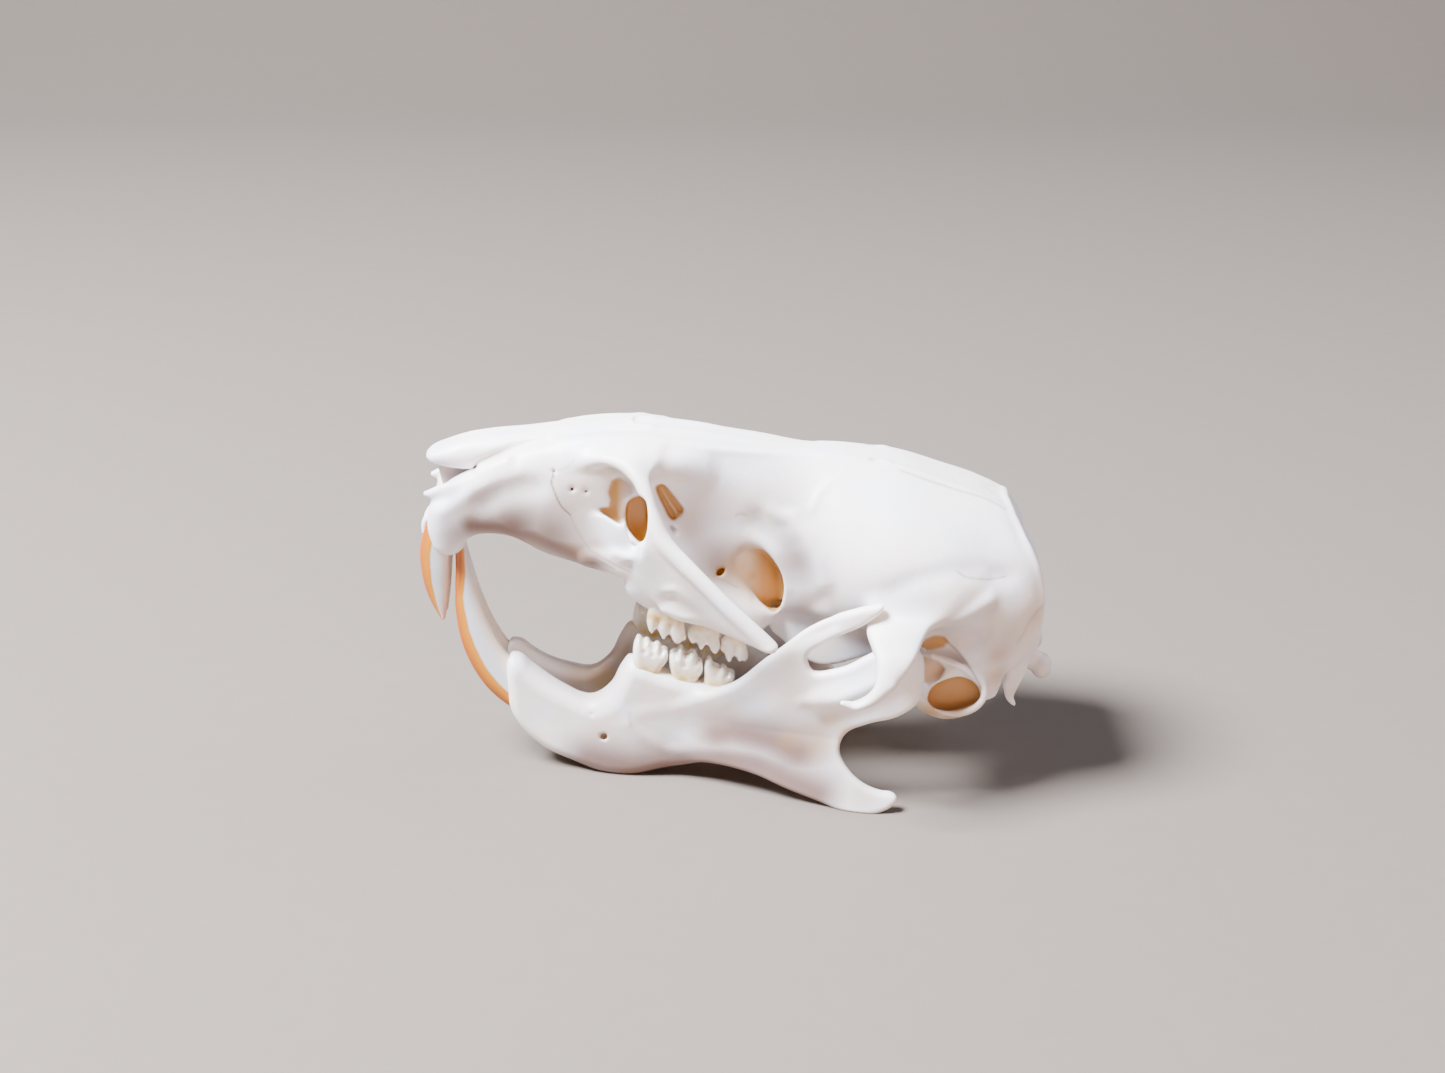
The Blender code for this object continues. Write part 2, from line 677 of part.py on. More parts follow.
def cranium(material):
    paired = [
        limb(INCISOR_SHEATH),
        limb(SNOUT_POINT),
        limb(SNOUT_SEAM),
        limb(UPPER_TOOTH_BED),
        limb(CHEEK_BAR),
        limb(FRONT_STRUT),
        limb(CHEEK_HOOK),
        limb(MASTOID),
        limb(EAR_SPUR),
        limb(NECK_CONDYLE),
        limb(NECK_CREST),
        ear_ring(),
        ball(BULLA_PLACE, BULLA_RADII),
        ball(CHEEK_ROOT_PLACE, CHEEK_ROOT_RADII),
        ruled_plate(CHEEK_PLATE_REAR, CHEEK_PLATE_FRONT),
        ruled_plate(BROW_INNER, BROW_OUTER),
        ruled_plate(WING_TOP, WING_EDGE),
        ruled_plate(THROAT_TOP, THROAT_EDGE),
    ]
    paired += tooth_row(UPPER_ROW, UPPER_ROW_OUT, -1)
    mesh = remeshed([vault(), nasals(), limb(PALATE)] + both(paired), SMOOTHING)
    cutters = [limb(NOSTRIL), ball(SPINE_HOLE_PLACE, SPINE_HOLE_RADII)]
    cutters += both(
        [
            limb(NOSTRIL_NOTCH),
            ball(ORBIT_HOLE_PLACE, ORBIT_HOLE_RADII),
            ball(EAR_PLACE, EAR_HOLE_RADII),
            limb(UPPER_INCISOR, PIECE_GAP),
            limb(CONDYLE_NECK, CONDYLE_CLEARANCE),
        ]
    )
    mesh = outer_shell(cut(mesh, cutters))
    return finished("cranium", thinned(mesh, CRANIUM_TRIANGLES), material)


def jaw_half():
    """The right half of the lower jaw, from which the left half is mirrored."""
    pieces = [
        blade(JAW_BODY, JAW_BODY_OUT, JAW_BODY_HALF, leans=JAW_BODY_LEAN),
        blade(JAW_BLADE, JAW_BLADE_OUT, JAW_BLADE_HALF, FLARE_PER_MM),
        limb(CONDYLE_NECK),
        limb(MUSCLE_RIDGE),
        limb(LOWER_RIDGE),
    ]
    pieces += tooth_row(LOWER_ROW, LOWER_ROW_OUT, 1)
    mesh = remeshed(pieces, SMOOTHING)
    mesh = outer_shell(cut(mesh, [limb(LOWER_INCISOR, PIECE_GAP)]))
    return cut(thinned(mesh, JAW_TRIANGLES), [floor_block()])


def incisor(stations):
    return thinned(joined([limb(stations)]), INCISOR_TRIANGLES)


def finished_pair(name, right, material, ahead):
    """The piece on both sides, the right one moved forward by ahead."""
    left = right.copy()
    left.transform(Matrix.Diagonal((1, -1, 1, 1)))
    left.flip_normals()
    right.transform(Matrix.Translation((-ahead, 0, 0)))
    finished(f"{name}_left", left, material)
    finished(f"{name}_right", right, material)


def build():
    for old in list(bpy.data.objects):
        bpy.data.objects.remove(old)
    bone = surface("bleached bone", BONE_COLOUR, BONE_ROUGHNESS)
    enamel = surface("incisor enamel", ENAMEL_COLOUR, ENAMEL_ROUGHNESS)
    cranium(bone)
    finished_pair("mandible", jaw_half(), bone, RIGHT_JAW_AHEAD)
    finished_pair("upper_incisor", incisor(UPPER_INCISOR), enamel, 0.0)
    finished_pair("lower_incisor", incisor(LOWER_INCISOR), enamel, RIGHT_JAW_AHEAD)


build()
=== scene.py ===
import math

import bpy
import numpy as np
import openvdb
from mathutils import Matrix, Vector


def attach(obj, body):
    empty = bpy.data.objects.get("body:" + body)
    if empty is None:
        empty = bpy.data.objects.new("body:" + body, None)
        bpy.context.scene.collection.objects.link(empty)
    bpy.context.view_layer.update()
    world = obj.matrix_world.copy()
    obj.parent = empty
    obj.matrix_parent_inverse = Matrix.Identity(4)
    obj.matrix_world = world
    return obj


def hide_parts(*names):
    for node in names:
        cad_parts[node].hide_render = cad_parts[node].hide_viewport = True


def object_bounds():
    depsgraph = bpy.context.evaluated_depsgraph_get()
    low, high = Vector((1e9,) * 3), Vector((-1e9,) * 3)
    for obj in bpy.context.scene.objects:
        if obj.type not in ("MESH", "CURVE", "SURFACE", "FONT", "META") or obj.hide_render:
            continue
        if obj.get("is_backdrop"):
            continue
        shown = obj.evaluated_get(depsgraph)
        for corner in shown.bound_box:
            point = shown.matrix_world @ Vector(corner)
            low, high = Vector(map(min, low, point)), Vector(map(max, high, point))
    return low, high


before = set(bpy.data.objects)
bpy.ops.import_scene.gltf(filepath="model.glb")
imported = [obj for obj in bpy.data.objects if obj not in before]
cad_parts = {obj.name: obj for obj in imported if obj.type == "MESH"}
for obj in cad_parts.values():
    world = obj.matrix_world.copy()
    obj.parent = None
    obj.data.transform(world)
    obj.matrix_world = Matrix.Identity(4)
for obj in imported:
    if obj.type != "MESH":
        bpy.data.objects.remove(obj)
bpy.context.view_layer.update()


# Braincase and face: the frontal, parietal, temporal and cheek bones of an adult golden hamster, grown
# together into one thin shell, boiled clean and bleached. They are shaped here as clay: a grid of distances
# in mm, below zero inside the bone, so that bones fuse with soft joins. Half is shaped, and then mirrored.
GRAIN = 0.1
# How many steps of the grid distances are kept for, and how finely curves and outlines are drawn.
REACH = 10
CURVE_POINTS = 40
OUTLINE_POINTS = 60
# How fast a fillet fades away from the surface, and the fillet of a join that stays crisp.
FILLET_FADE = 1.4
CRISP = 0.01
# How many of its widths a stroke is worked out for, and how many grains around it a pocket may change.
STROKE_REACH = 2.2
POCKET_MARGIN = 3
DRILL_POINTS = 12
DRILL_START = 1.0
DRILL_SOFT = 0.08


def through(points, count):
    """Returns count points, evenly spaced by length, on a smooth curve through the given ones."""
    points = np.asarray(points, float)
    steps = np.linalg.norm(np.diff(points, axis=0), axis=1)
    along = np.concatenate([[0.0], np.cumsum(steps)])
    slopes = np.gradient(points, along, axis=0)
    places = np.linspace(0.0, along[-1], count)
    index = np.clip(np.searchsorted(along, places, side="right") - 1, 0, len(points) - 2)
    width = (along[index + 1] - along[index])[:, None]
    t = (places - along[index])[:, None] / width
    start = (1 + 2 * t) * (1 - t) ** 2 * points[index] + t * (1 - t) ** 2 * width * slopes[index]
    end = t**2 * (3 - 2 * t) * points[index + 1] + t**2 * (t - 1) * width * slopes[index + 1]
    return start + end


def ring_through(points, count):
    """Returns count points on a smooth closed curve through the given ones."""
    points = [tuple(p) for p in points]
    lap, thinned = 3, 4
    wrapped = points[-lap:] + points + points[:lap]
    dense = through(wrapped, CURVE_POINTS * len(wrapped))
    near_end = 2 * lap * CURVE_POINTS
    first = np.linalg.norm(dense - wrapped[lap], axis=1)[:near_end].argmin()
    last = len(dense) - near_end + np.linalg.norm(dense - wrapped[-lap], axis=1)[-near_end:].argmin()
    return through(dense[first : last + 1 : thinned], count + 1)[:-1]


def skin(rings):
    """A closed shape over rings of points: its points, its four-sided faces and the triangles of its ends."""
    rings = np.asarray(rings, np.float32)
    count, around = rings.shape[:2]
    ends = np.stack([rings[0].mean(axis=0), rings[-1].mean(axis=0)])
    points = np.concatenate([rings.reshape(-1, 3), ends])
    here = np.arange(around)
    after = (here + 1) % around
    start = np.arange(count - 1)[:, None] * around
    sides = np.stack([start + here, start + after, start + around + after, start + around + here], axis=-1)
    last = (count - 1) * around
    front = np.stack([np.full(around, count * around), after, here], axis=1)
    back = np.stack([np.full(around, count * around + 1), last + here, last + after], axis=1)
    return points, sides.reshape(-1, 4).astype(np.uint32), np.concatenate([front, back]).astype(np.uint32)


def merged(a, b, soft, far):
    """Two fields as one, with a fillet about soft mm wide where they meet."""
    share = np.clip(0.5 + 0.5 * (b - a) / soft, 0, 1)
    lowest = b + (a - b) * share
    fade = np.clip(FILLET_FADE - FILLET_FADE * lowest / far, 0, 1)
    return lowest - soft * share * (1 - share) * fade


# The side view is drawn on the skull's middle plane, as seen from this point in mm.
VIEWPOINT = (-0.9, 117.0, 59.8)


def drawn(x, out, z):
    """Where a point lands in the side view."""
    share = VIEWPOINT[1] / (VIEWPOINT[1] - out)
    return VIEWPOINT[0] + (x - VIEWPOINT[0]) * share, VIEWPOINT[2] + (z - VIEWPOINT[2]) * share


def placed(drawing, out):
    """The points at this distance out that a drawing in the side view stands for."""
    drawing = np.asarray(drawing, float)
    share = 1 - out / VIEWPOINT[1]
    x = VIEWPOINT[0] + (drawing[:, 0] - VIEWPOINT[0]) * share
    z = VIEWPOINT[2] + (drawing[:, 1] - VIEWPOINT[2]) * share
    return np.stack([x, np.full(len(x), out), z], axis=1)


def line_distance(axes, line):
    """How far points, given as one array for each axis, are from a bent line."""
    line = np.asarray(line, np.float32)
    best = None
    for start, end in zip(line, line[1:]):
        step = end - start
        share = sum((axis - s) * d for axis, s, d in zip(axes, start, step)) / max(step @ step, 1e-9)
        share = np.clip(share, 0, 1)
        far = sum((axis - s - share * d) ** 2 for axis, s, d in zip(axes, start, step))
        best = far if best is None else np.minimum(best, far)
    return np.sqrt(best)


def outline_distance(outline, across, up):
    """How far points of the side view are outside a closed outline, below zero inside it."""
    ring = np.asarray(outline, np.float32)
    inside = np.zeros(np.broadcast(across, up).shape, bool)
    for (x1, z1), (x2, z2) in zip(ring, np.roll(ring, -1, axis=0)):
        if z1 != z2:
            inside ^= ((z1 > up) != (z2 > up)) & (across < (x2 - x1) * (up - z1) / (z2 - z1) + x1)
    edge = line_distance((across, up), np.concatenate([ring, ring[:1]]))
    return np.where(inside, -edge, edge)


class Clay:
    """Bone on a grid of distances, shaped by adding, carving and stroking."""

    def __init__(self, low, high, grain):
        self.grain = grain
        self.far = REACH * grain
        self.first = np.floor(np.array(low) / grain).astype(int)
        self.size = np.ceil(np.array(high) / grain).astype(int) - self.first + 1
        self.field = np.full(self.size, self.far, np.float32)

    def block(self, low, high):
        """The part of the grid between two corners, and the places of its points along each axis."""
        start = np.clip(np.floor(np.array(low) / self.grain).astype(int) - self.first, 0, self.size - 1)
        stop = np.clip(np.ceil(np.array(high) / self.grain).astype(int) - self.first + 1, 1, self.size)
        x, out, z = [(np.arange(a, b) + f) * self.grain for a, b, f in zip(start, stop, self.first)]
        places = (x[:, None, None], out[None, :, None], z[None, None, :])
        return tuple(slice(a, b) for a, b in zip(start, stop)), [p.astype(np.float32) for p in places]

    def field_of(self, shape):
        """The part of the grid that a closed shape reaches, and the shape's distances there."""
        points, sides, ends = shape
        transform = openvdb.createLinearTransform(voxelSize=self.grain)
        grid = openvdb.FloatGrid.createLevelSetFromPolygons(
            points, triangles=ends, quads=sides, transform=transform, halfWidth=REACH
        )
        low, high = grid.evalActiveVoxelBoundingBox()
        low = np.maximum(low, self.first)
        high = np.minimum(np.array(high) + 1, self.first + self.size)
        values = np.empty(high - low, np.float32)
        grid.copyToArray(values, ijk=[int(v) for v in low])
        return tuple(slice(a, b) for a, b in zip(low - self.first, high - self.first)), values

    def add(self, shape, soft=0.3):
        block, values = self.field_of(shape)
        self.field[block] = merged(self.field[block], values, soft, self.far)

    def carve(self, shape, soft=0.12):
        block, values = self.field_of(shape)
        self.field[block] = -merged(-self.field[block], values, soft, self.far)

    def pocket(self, outline, mouth, floor, soft=0.12, rise=0.0, rise_from=0.0):
        """Sinks an opening with this side-view outline from mouth in to floor, which can rise forwards."""
        ends = np.concatenate([placed(outline, mouth), placed(outline, floor)])
        widest = soft + rise * max(rise_from - ends[:, 0].min(), 0)
        margin = POCKET_MARGIN * self.grain + widest
        block, places = self.block(ends.min(axis=0) - margin, ends.max(axis=0) + margin)
        edge = outline_distance(ring_through(outline, OUTLINE_POINTS), *drawn(*places))
        ramp = rise * np.maximum(rise_from - places[0], 0)
        tool = np.maximum(edge, np.maximum(places[1] - mouth, floor + ramp - places[1]))
        soft = soft + ramp
        self.field[block] = -merged(-self.field[block], tool, soft, self.far)

    def stroke(self, line, wide, rise):
        """Raises the surface by rise mm along a bent line, or sinks it, fading out over wide mm."""
        line = np.asarray(line, float)
        margin = STROKE_REACH * wide
        block, places = self.block(line.min(axis=0) - margin, line.max(axis=0) + margin)
        self.field[block] -= rise * np.exp(-((line_distance(places, line) / wide) ** 2))

    def sketch(self, line, out, wide, rise, depth=1.3):
        """The same along a line of the side view, on the surfaces within depth of this distance out."""
        ends = np.concatenate([placed(line, out + depth), placed(line, out - depth)])
        margin = STROKE_REACH * wide
        block, places = self.block(ends.min(axis=0) - margin, ends.max(axis=0) + margin)
        fade = np.clip(2 - 2 * np.abs(places[1] - out) / depth, 0, 1)
        self.field[block] -= rise * fade * np.exp(-((line_distance(drawn(*places), line) / wide) ** 2))

    def drill(self, spot, out, radius, depth):
        """A small round hole at one spot of the side view."""
        turns = np.linspace(0, 2 * math.pi, DRILL_POINTS, endpoint=False)
        ring = [(spot[0] + radius * math.cos(t), spot[1] + radius * math.sin(t)) for t in turns]
        self.pocket(ring, out + DRILL_START, out - depth, DRILL_SOFT)

    def softened(self):
        """Rounds every edge by about one grain."""
        for axis in range(3):
            ahead, behind = np.roll(self.field, 1, axis), np.roll(self.field, -1, axis)
            mixed = 0.5 * self.field + 0.25 * (ahead + behind)
            ends = [slice(None)] * 3
            ends[axis] = slice(1, -1)
            self.field[tuple(ends)] = mixed[tuple(ends)]


# Half of the vault in sections across the skull: place along it, height of its top, four (out, height)
# corners from the roof's edge down to the floor's, and its bottom.
VAULT_SECTIONS = (
    (-17.3, 16.9, (1.2, 16.7), (1.7, 16.2), (1.9, 15.5), (1.6, 14.7), 14.7),
    (-16.0, 18.0, (1.6, 17.7), (2.1, 17.0), (2.5, 15.7), (2.1, 14.2), 14.5),
    (-14.7, 18.9, (1.9, 18.6), (2.4, 17.8), (2.8, 16.2), (2.3, 14.8), 15.1),
    (-13.0, 19.8, (2.1, 19.2), (2.7, 18.3), (3.0, 16.5), (2.4, 14.7), 15.0),
    (-11.0, 20.3, (2.3, 19.7), (2.9, 18.7), (3.2, 16.6), (2.5, 13.7), 14.2),
    (-9.0, 20.55, (2.2, 20.2), (2.8, 19.3), (3.1, 16.6), (2.7, 13.1), 13.5),
    (-7.0, 20.65, (2.0, 20.45), (2.6, 19.6), (2.8, 16.6), (2.8, 12.5), 12.8),
    (-5.3, 20.7, (1.9, 20.5), (2.5, 19.5), (2.6, 16.5), (2.6, 11.6), 11.8),
    (-3.0, 20.5, (1.75, 20.35), (2.4, 19.2), (2.4, 16.2), (2.5, 11.0), 11.2),
    (0.7, 19.85, (1.5, 19.75), (2.3, 18.4), (2.6, 15.0), (2.6, 10.4), 10.6),
    (3.6, 19.35, (1.1, 19.25), (2.8, 17.6), (4.0, 14.0), (3.2, 10.2), 10.5),
    (6.4, 19.1, (1.2, 19.0), (4.0, 17.0), (5.7, 13.4), (4.1, 9.9), 9.8),
    (9.3, 18.6, (1.4, 18.5), (4.6, 16.8), (6.6, 12.8), (4.9, 9.3), 8.8),
    (11.6, 17.8, (1.6, 17.7), (4.9, 16.1), (6.9, 12.2), (5.2, 8.6), 8.1),
    (14.0, 16.9, (1.8, 16.8), (4.8, 15.1), (6.4, 11.8), (5.0, 7.8), 7.4),
    (15.3, 16.2, (2.2, 16.0), (4.3, 14.9), (6.0, 11.6), (4.8, 7.6), 7.2),
    (16.2, 15.0, (2.2, 14.9), (3.9, 14.5), (5.6, 11.6), (4.5, 7.8), 7.1),
    (16.8, 13.5, (2.2, 13.5), (4.2, 13.4), (5.2, 11.3), (4.2, 8.0), 7.2),
    (17.1, 12.0, (2.0, 12.2), (4.2, 12.4), (4.75, 10.9), (3.8, 8.3), 7.4),
    (17.3, 11.2, (1.6, 11.2), (3.4, 11.2), (4.1, 10.4), (3.0, 8.6), 7.7),
)
VAULT_RINGS, VAULT_AROUND = 180, 100


def section_ring(x, corners, top, bottom, count):
    """A closed section across the skull from its right-hand corners."""
    left = [(-out, z) for out, z in corners[::-1]]
    ring = ring_through([(0.0, top)] + list(corners) + [(0.0, bottom)] + left, count)
    return np.concatenate([np.full((count, 1), x), ring], axis=1)


skull = Clay((-18.7, 0.0, 4.0), (18.7, 10.4, 21.6), GRAIN)
rows = [(x, top) + a + b + c + d + (bottom,) for x, top, a, b, c, d, bottom in VAULT_SECTIONS]
vault_rings = []
for x, top, ay, az, by, bz, cy, cz, dy, dz, bottom in through(rows, VAULT_RINGS):
    vault_rings.append(section_ring(x, [(ay, az), (by, bz), (cy, cz), (dy, dz)], top, bottom, VAULT_AROUND))
skull.add(skin(vault_rings), CRISP)

# The temporal lines: a low ridge along the roof's edge on each side, with a shallow groove outside it.
ROOF_GROOVE = ((-10.4, 20.1), (-6.9, 20.1), (-2.7, 19.88), (0.7, 19.44), (2.2, 19.28), (4.3, 18.93))
skull.sketch(ROOF_GROOVE, 1.9, 0.28, -0.13)
skull.stroke([(-5.5, 1.75, 20.5), (0.0, 1.6, 20.05), (4.0, 1.2, 19.35), (8.4, 1.35, 18.8)], 0.35, 0.07)
skull.stroke([(8.4, 1.35, 18.8), (10.2, 1.6, 18.1), (12.0, 1.6, 17.6), (15.0, 2.0, 16.1)], 0.35, 0.1)
# The step where the orbit meets the braincase.
skull.sketch([(1.9, 15.2), (3.1, 14.75), (4.0, 13.6), (4.61, 12.24), (4.96, 10.8)], 4.3, 0.6, 0.26, 1.8)
# The edge of the brow runs back as a low ridge with a shallow trough above it, towards a faint ridge on the
# front of the braincase. Below it is the hollow in front of the step.
BROW_TROUGH = (
    (-10.14, 20.06), (-8.19, 20.14), (-5.92, 20.06), (-3.64, 19.78), (-1.04, 19.44), (1.24, 19.28),
    (3.85, 19.15),
)
BROW_RIDGE = ((-10.15, 19.8), (-5.92, 19.73), (-3.65, 19.46), (-1.04, 19.11), (1.24, 18.97), (4.17, 18.97))
skull.sketch(BROW_TROUGH, 2.6, 0.3, -0.17, 2.0)
skull.sketch(BROW_RIDGE, 2.8, 0.3, 0.11, 2.0)
skull.sketch([(7.13, 18.07), (5.51, 17.33), (4.62, 16.37), (4.23, 15.31)], 4.6, 0.22, 0.06, 2.4)
skull.sketch([(1.1, 14.6), (2.77, 12.96), (3.8, 10.8), (4.48, 9.7)], 3.4, 0.8, -0.3, 1.8)
# Low swellings of the brain under the roof, and the hollow above the ear.
skull.stroke([(8.5, 6.0, 14.5), (11.5, 6.2, 14.2)], 1.8, 0.12)
skull.sketch([(9.0, 10.2), (10.4, 11.0), (12.5, 11.5), (13.97, 11.3), (15.6, 11.3)], 6.4, 0.7, -0.14, 1.8)


# Nose: two nasal bones side by side over the open nostril, and the premaxillae, which hold the upper incisors
# and run forward to a point below them. They are thin, smooth and a little see-through at their edges.
NASAL_SECTIONS = (
    (-17.8, 0.45, 18.95, 18.75),
    (-17.5, 0.95, 19.2, 18.6),
    (-16.4, 1.3, 19.6, 18.36),
    (-15.4, 1.45, 19.88, 18.32),
    (-14.2, 1.5, 20.08, 18.75),
    (-12.0, 1.5, 20.3, 19.3),
    (-9.0, 1.3, 20.7, 19.9),
    (-6.0, 0.9, 20.9, 20.3),
)
NASAL_THICK = 0.45
NASAL_RINGS, NASAL_AROUND = 90, 60
INCISOR_SHEATH = (
    (-11.0, 1.9, 17.4, 0.9, 0.9),
    (-13.5, 1.7, 17.5, 1.1, 1.1),
    (-15.4, 1.6, 16.7, 1.25, 1.15),
    (-16.4, 1.5, 15.5, 1.3, 1.1),
    (-16.6, 1.4, 14.75, 1.15, 1.0),
    (-16.6, 1.3, 14.1, 1.0, 0.95),
)
SNOUT_POINT = (
    (-12.9, 2.1, 18.9, 0.5, 0.4),
    (-14.4, 2.0, 18.2, 0.55, 0.45),
    (-15.6, 1.9, 17.55, 0.6, 0.42),
    (-16.5, 1.85, 17.2, 0.52, 0.36),
    (-17.2, 1.75, 17.0, 0.4, 0.3),
    (-17.75, 1.65, 16.98, 0.16, 0.2),
)
SNOUT_SEAM = (
    (-16.9, 0.9, 16.2, 0.5, 0.6),
    (-17.45, 0.7, 15.5, 0.3, 0.5),
    (-17.95, 0.5, 14.85, 0.25, 0.35),
    (-18.05, 0.5, 14.3, 0.2, 0.3),
    (-17.9, 0.6, 13.8, 0.15, 0.3),
)
SEPTUM_TOP = ((-17.3, 0.05, 18.7), (-15.8, 0.05, 18.7), (-13.6, 0.05, 19.0))
SEPTUM_LOW = ((-16.95, 0.05, 16.8), (-15.6, 0.05, 16.6), (-13.6, 0.05, 16.6))
NOSTRIL = ((-19.0, 0.0, 17.3, 1.0, 1.05), (-16.0, 0.0, 17.6, 1.0, 1.1), (-12.5, 0.0, 17.8, 0.5, 0.6))
NOSTRIL_NOTCH = ((-18.4, 1.9, 17.9, 0.6, 1.2), (-16.4, 1.9, 18.1, 0.36, 1.2), (-14.9, 1.9, 18.45, 0.1, 1.2))
# How finely limbs and plates are drawn, a limb's least half width, and how thin a plate gets at its edges.
RINGS_PER_MM, FEWEST_RINGS, RING_POINTS = 6, 8, 32
CAP_RINGS, CAP_GAP = 6, 0.3
THINNEST = 0.05
PLATE_LONG, PLATE_ACROSS, PLATE_EDGE = 60, 30, 0.3


def path_axes(path):
    """Three directions at each point of a path: along it, across it and depthwise."""
    heading = np.gradient(path[:, :3], axis=0)
    heading /= np.linalg.norm(heading, axis=1)[:, None]
    across = np.tile((0.0, 1.0, 0.0), (len(path), 1))
    across -= heading * (across * heading).sum(axis=1)[:, None]
    across /= np.linalg.norm(across, axis=1)[:, None]
    return heading, across, np.cross(across, heading)


def limb(stations, extra=0.0):
    """A rounded limb of bone along (x, out, height, half depth, half width) stations, thicker by extra."""
    stations = np.asarray(stations, float)
    length = np.linalg.norm(np.diff(stations[:, :3], axis=0), axis=1).sum()
    path = through(stations, max(FEWEST_RINGS, int(length * RINGS_PER_MM)))
    path[:, 3:] = np.maximum(path[:, 3:], THINNEST) + extra
    heading, across, depthwise = path_axes(path)
    place = np.arange(-CAP_RINGS, len(path) + CAP_RINGS)
    at = np.clip(place, 0, len(path) - 1)
    lean = (place - at) / (CAP_RINGS + CAP_GAP) * math.pi / 2
    centre = path[at, :3] + heading[at] * (np.sin(lean) * path[at, 3:].min(axis=1))[:, None]
    turns = np.linspace(0, 2 * math.pi, RING_POINTS, endpoint=False)[None, :, None]
    deep = (depthwise[at] * (path[at, 3] * np.cos(lean))[:, None])[:, None]
    wide = (across[at] * (path[at, 4] * np.cos(lean))[:, None])[:, None]
    return skin(centre[:, None] + deep * np.cos(turns) + wide * np.sin(turns))


def ruled_plate(first, second, half):
    """A thin plate of bone ruled between two edges of (x, out, height) points, thinner towards both."""
    a, b = through(first, PLATE_LONG), through(second, PLATE_LONG)
    shares = np.linspace(0, 1, PLATE_ACROSS)[None, :, None]
    sheet = a[:, None] * (1 - shares) + b[:, None] * shares
    normal = np.cross(np.gradient(sheet, axis=0), np.gradient(sheet, axis=1))
    normal /= np.linalg.norm(normal, axis=2)[:, :, None] + 1e-9
    swell = np.sqrt(np.abs(np.sin(math.pi * shares)))
    thick = normal * half * (PLATE_EDGE + (1 - PLATE_EDGE) * swell)
    return skin(np.concatenate([sheet + thick, (sheet - thick)[:, ::-1]], axis=1))


skull.add(limb(INCISOR_SHEATH), 0.5)
skull.add(limb(SNOUT_SEAM), 0.2)
skull.add(limb(SNOUT_POINT), 0.3)
# The corners of each section: the roof's edge, the widest place just above mid height, and the lower edge.
nasal_rings = []
for x, half, top, low in through(NASAL_SECTIONS, NASAL_RINGS):
    corners = [(0.7 * half, top - 0.1), (half, 0.55 * top + 0.45 * low), (0.9 * half, low)]
    nasal_rings.append(section_ring(x, corners, top, top - NASAL_THICK, NASAL_AROUND))
skull.carve(limb(NOSTRIL), 0.2)
skull.carve(limb(NOSTRIL_NOTCH), 0.15)
skull.add(ruled_plate(SEPTUM_TOP, SEPTUM_LOW, 0.16), 0.1)
skull.add(skin(nasal_rings), 0.12)
# The crease behind the nostril where nasal bone and premaxilla meet, and the ridge of the incisor's capsule.
NASAL_CREASE = ((-14.9, 18.15), (-14.05, 18.6), (-12.9, 19.17), (-12.16, 19.35), (-10.8, 19.6))
skull.sketch(NASAL_CREASE, 1.8, 0.2, -0.14)
skull.stroke([(-17.0, 2.2, 16.8), (-16.1, 2.3, 16.9), (-15.1, 2.4, 17.4)], 0.35, -0.12)
skull.sketch([(-17.2, 15.3), (-15.56, 16.4), (-14.09, 17.25), (-12.64, 17.75)], 2.6, 0.5, 0.15, 1.6)
skull.sketch([(-14.7, 15.9), (-13.4, 16.5), (-11.6, 16.8)], 2.9, 0.75, -0.26, 1.6)
skull.stroke([(-5.9, 0.5, 20.95), (-4.9, 0.8, 20.85)], 0.35, 0.12)


# Cheek: the maxilla's upper root arches off the snout over the opening for the muscle and nerve of the face,
# and a thin sloping plate braces it from below. The bar ends where the lost cheekbone was joined to it.
CHEEK_BAR = (
    (-9.7, 2.1, 18.8, 0.2, 0.2),
    (-8.7, 2.55, 19.2, 0.25, 0.3),
    (-7.4, 3.25, 19.6, 0.28, 0.36),
    (-6.2, 4.0, 19.45, 0.32, 0.42),
    (-5.3, 4.9, 18.65, 0.42, 0.45),
    (-4.75, 5.7, 17.35, 0.36, 0.42),
    (-4.15, 6.25, 16.05, 0.36, 0.38),
    (-3.2, 6.8, 14.9, 0.28, 0.26),
    (-2.0, 7.35, 13.8, 0.22, 0.2),
    (-0.75, 7.8, 12.6, 0.2, 0.2),
    (0.6, 8.15, 11.4, 0.2, 0.2),
    (1.85, 8.4, 10.35, 0.18, 0.18),
)
FRONT_STRUT = (
    (-8.6, 2.9, 13.6, 0.35, 0.35),
    (-7.0, 3.3, 13.8, 0.35, 0.35),
    (-5.7, 4.1, 14.2, 0.35, 0.35),
    (-5.0, 5.1, 15.6, 0.35, 0.35),
)
CHEEK_PLATE_REAR = (
    (-4.75, 5.65, 17.2),
    (-4.1, 6.3, 16.0),
    (-2.8, 7.0, 15.0),
    (-1.6, 7.5, 13.9),
    (-0.3, 7.95, 12.7),
    (1.0, 8.25, 11.5),
    (2.0, 8.4, 10.5),
)
CHEEK_PLATE_FRONT = (
    (-5.0, 5.55, 16.5),
    (-5.3, 5.1, 15.0),
    (-5.8, 4.0, 13.6),
    (-5.5, 3.6, 12.3),
    (-4.2, 4.0, 10.85),
    (-1.5, 6.0, 10.65),
    (1.6, 8.2, 10.2),
)
BROW_INNER = ((-9.6, 2.0, 19.5), (-8.4, 1.9, 19.95), (-7.2, 1.8, 20.15), (-5.6, 1.8, 20.2), (-4.4, 2.0, 20.0))
BROW_OUTER = ((-9.6, 2.3, 18.9), (-8.6, 2.7, 19.3), (-7.4, 3.25, 19.6), (-6.2, 3.95, 19.4), (-5.2, 4.7, 18.7))
WALL_FRONT = ((-8.4, 2.7, 16.0), (-8.2, 2.7, 14.8), (-8.0, 2.75, 13.6))
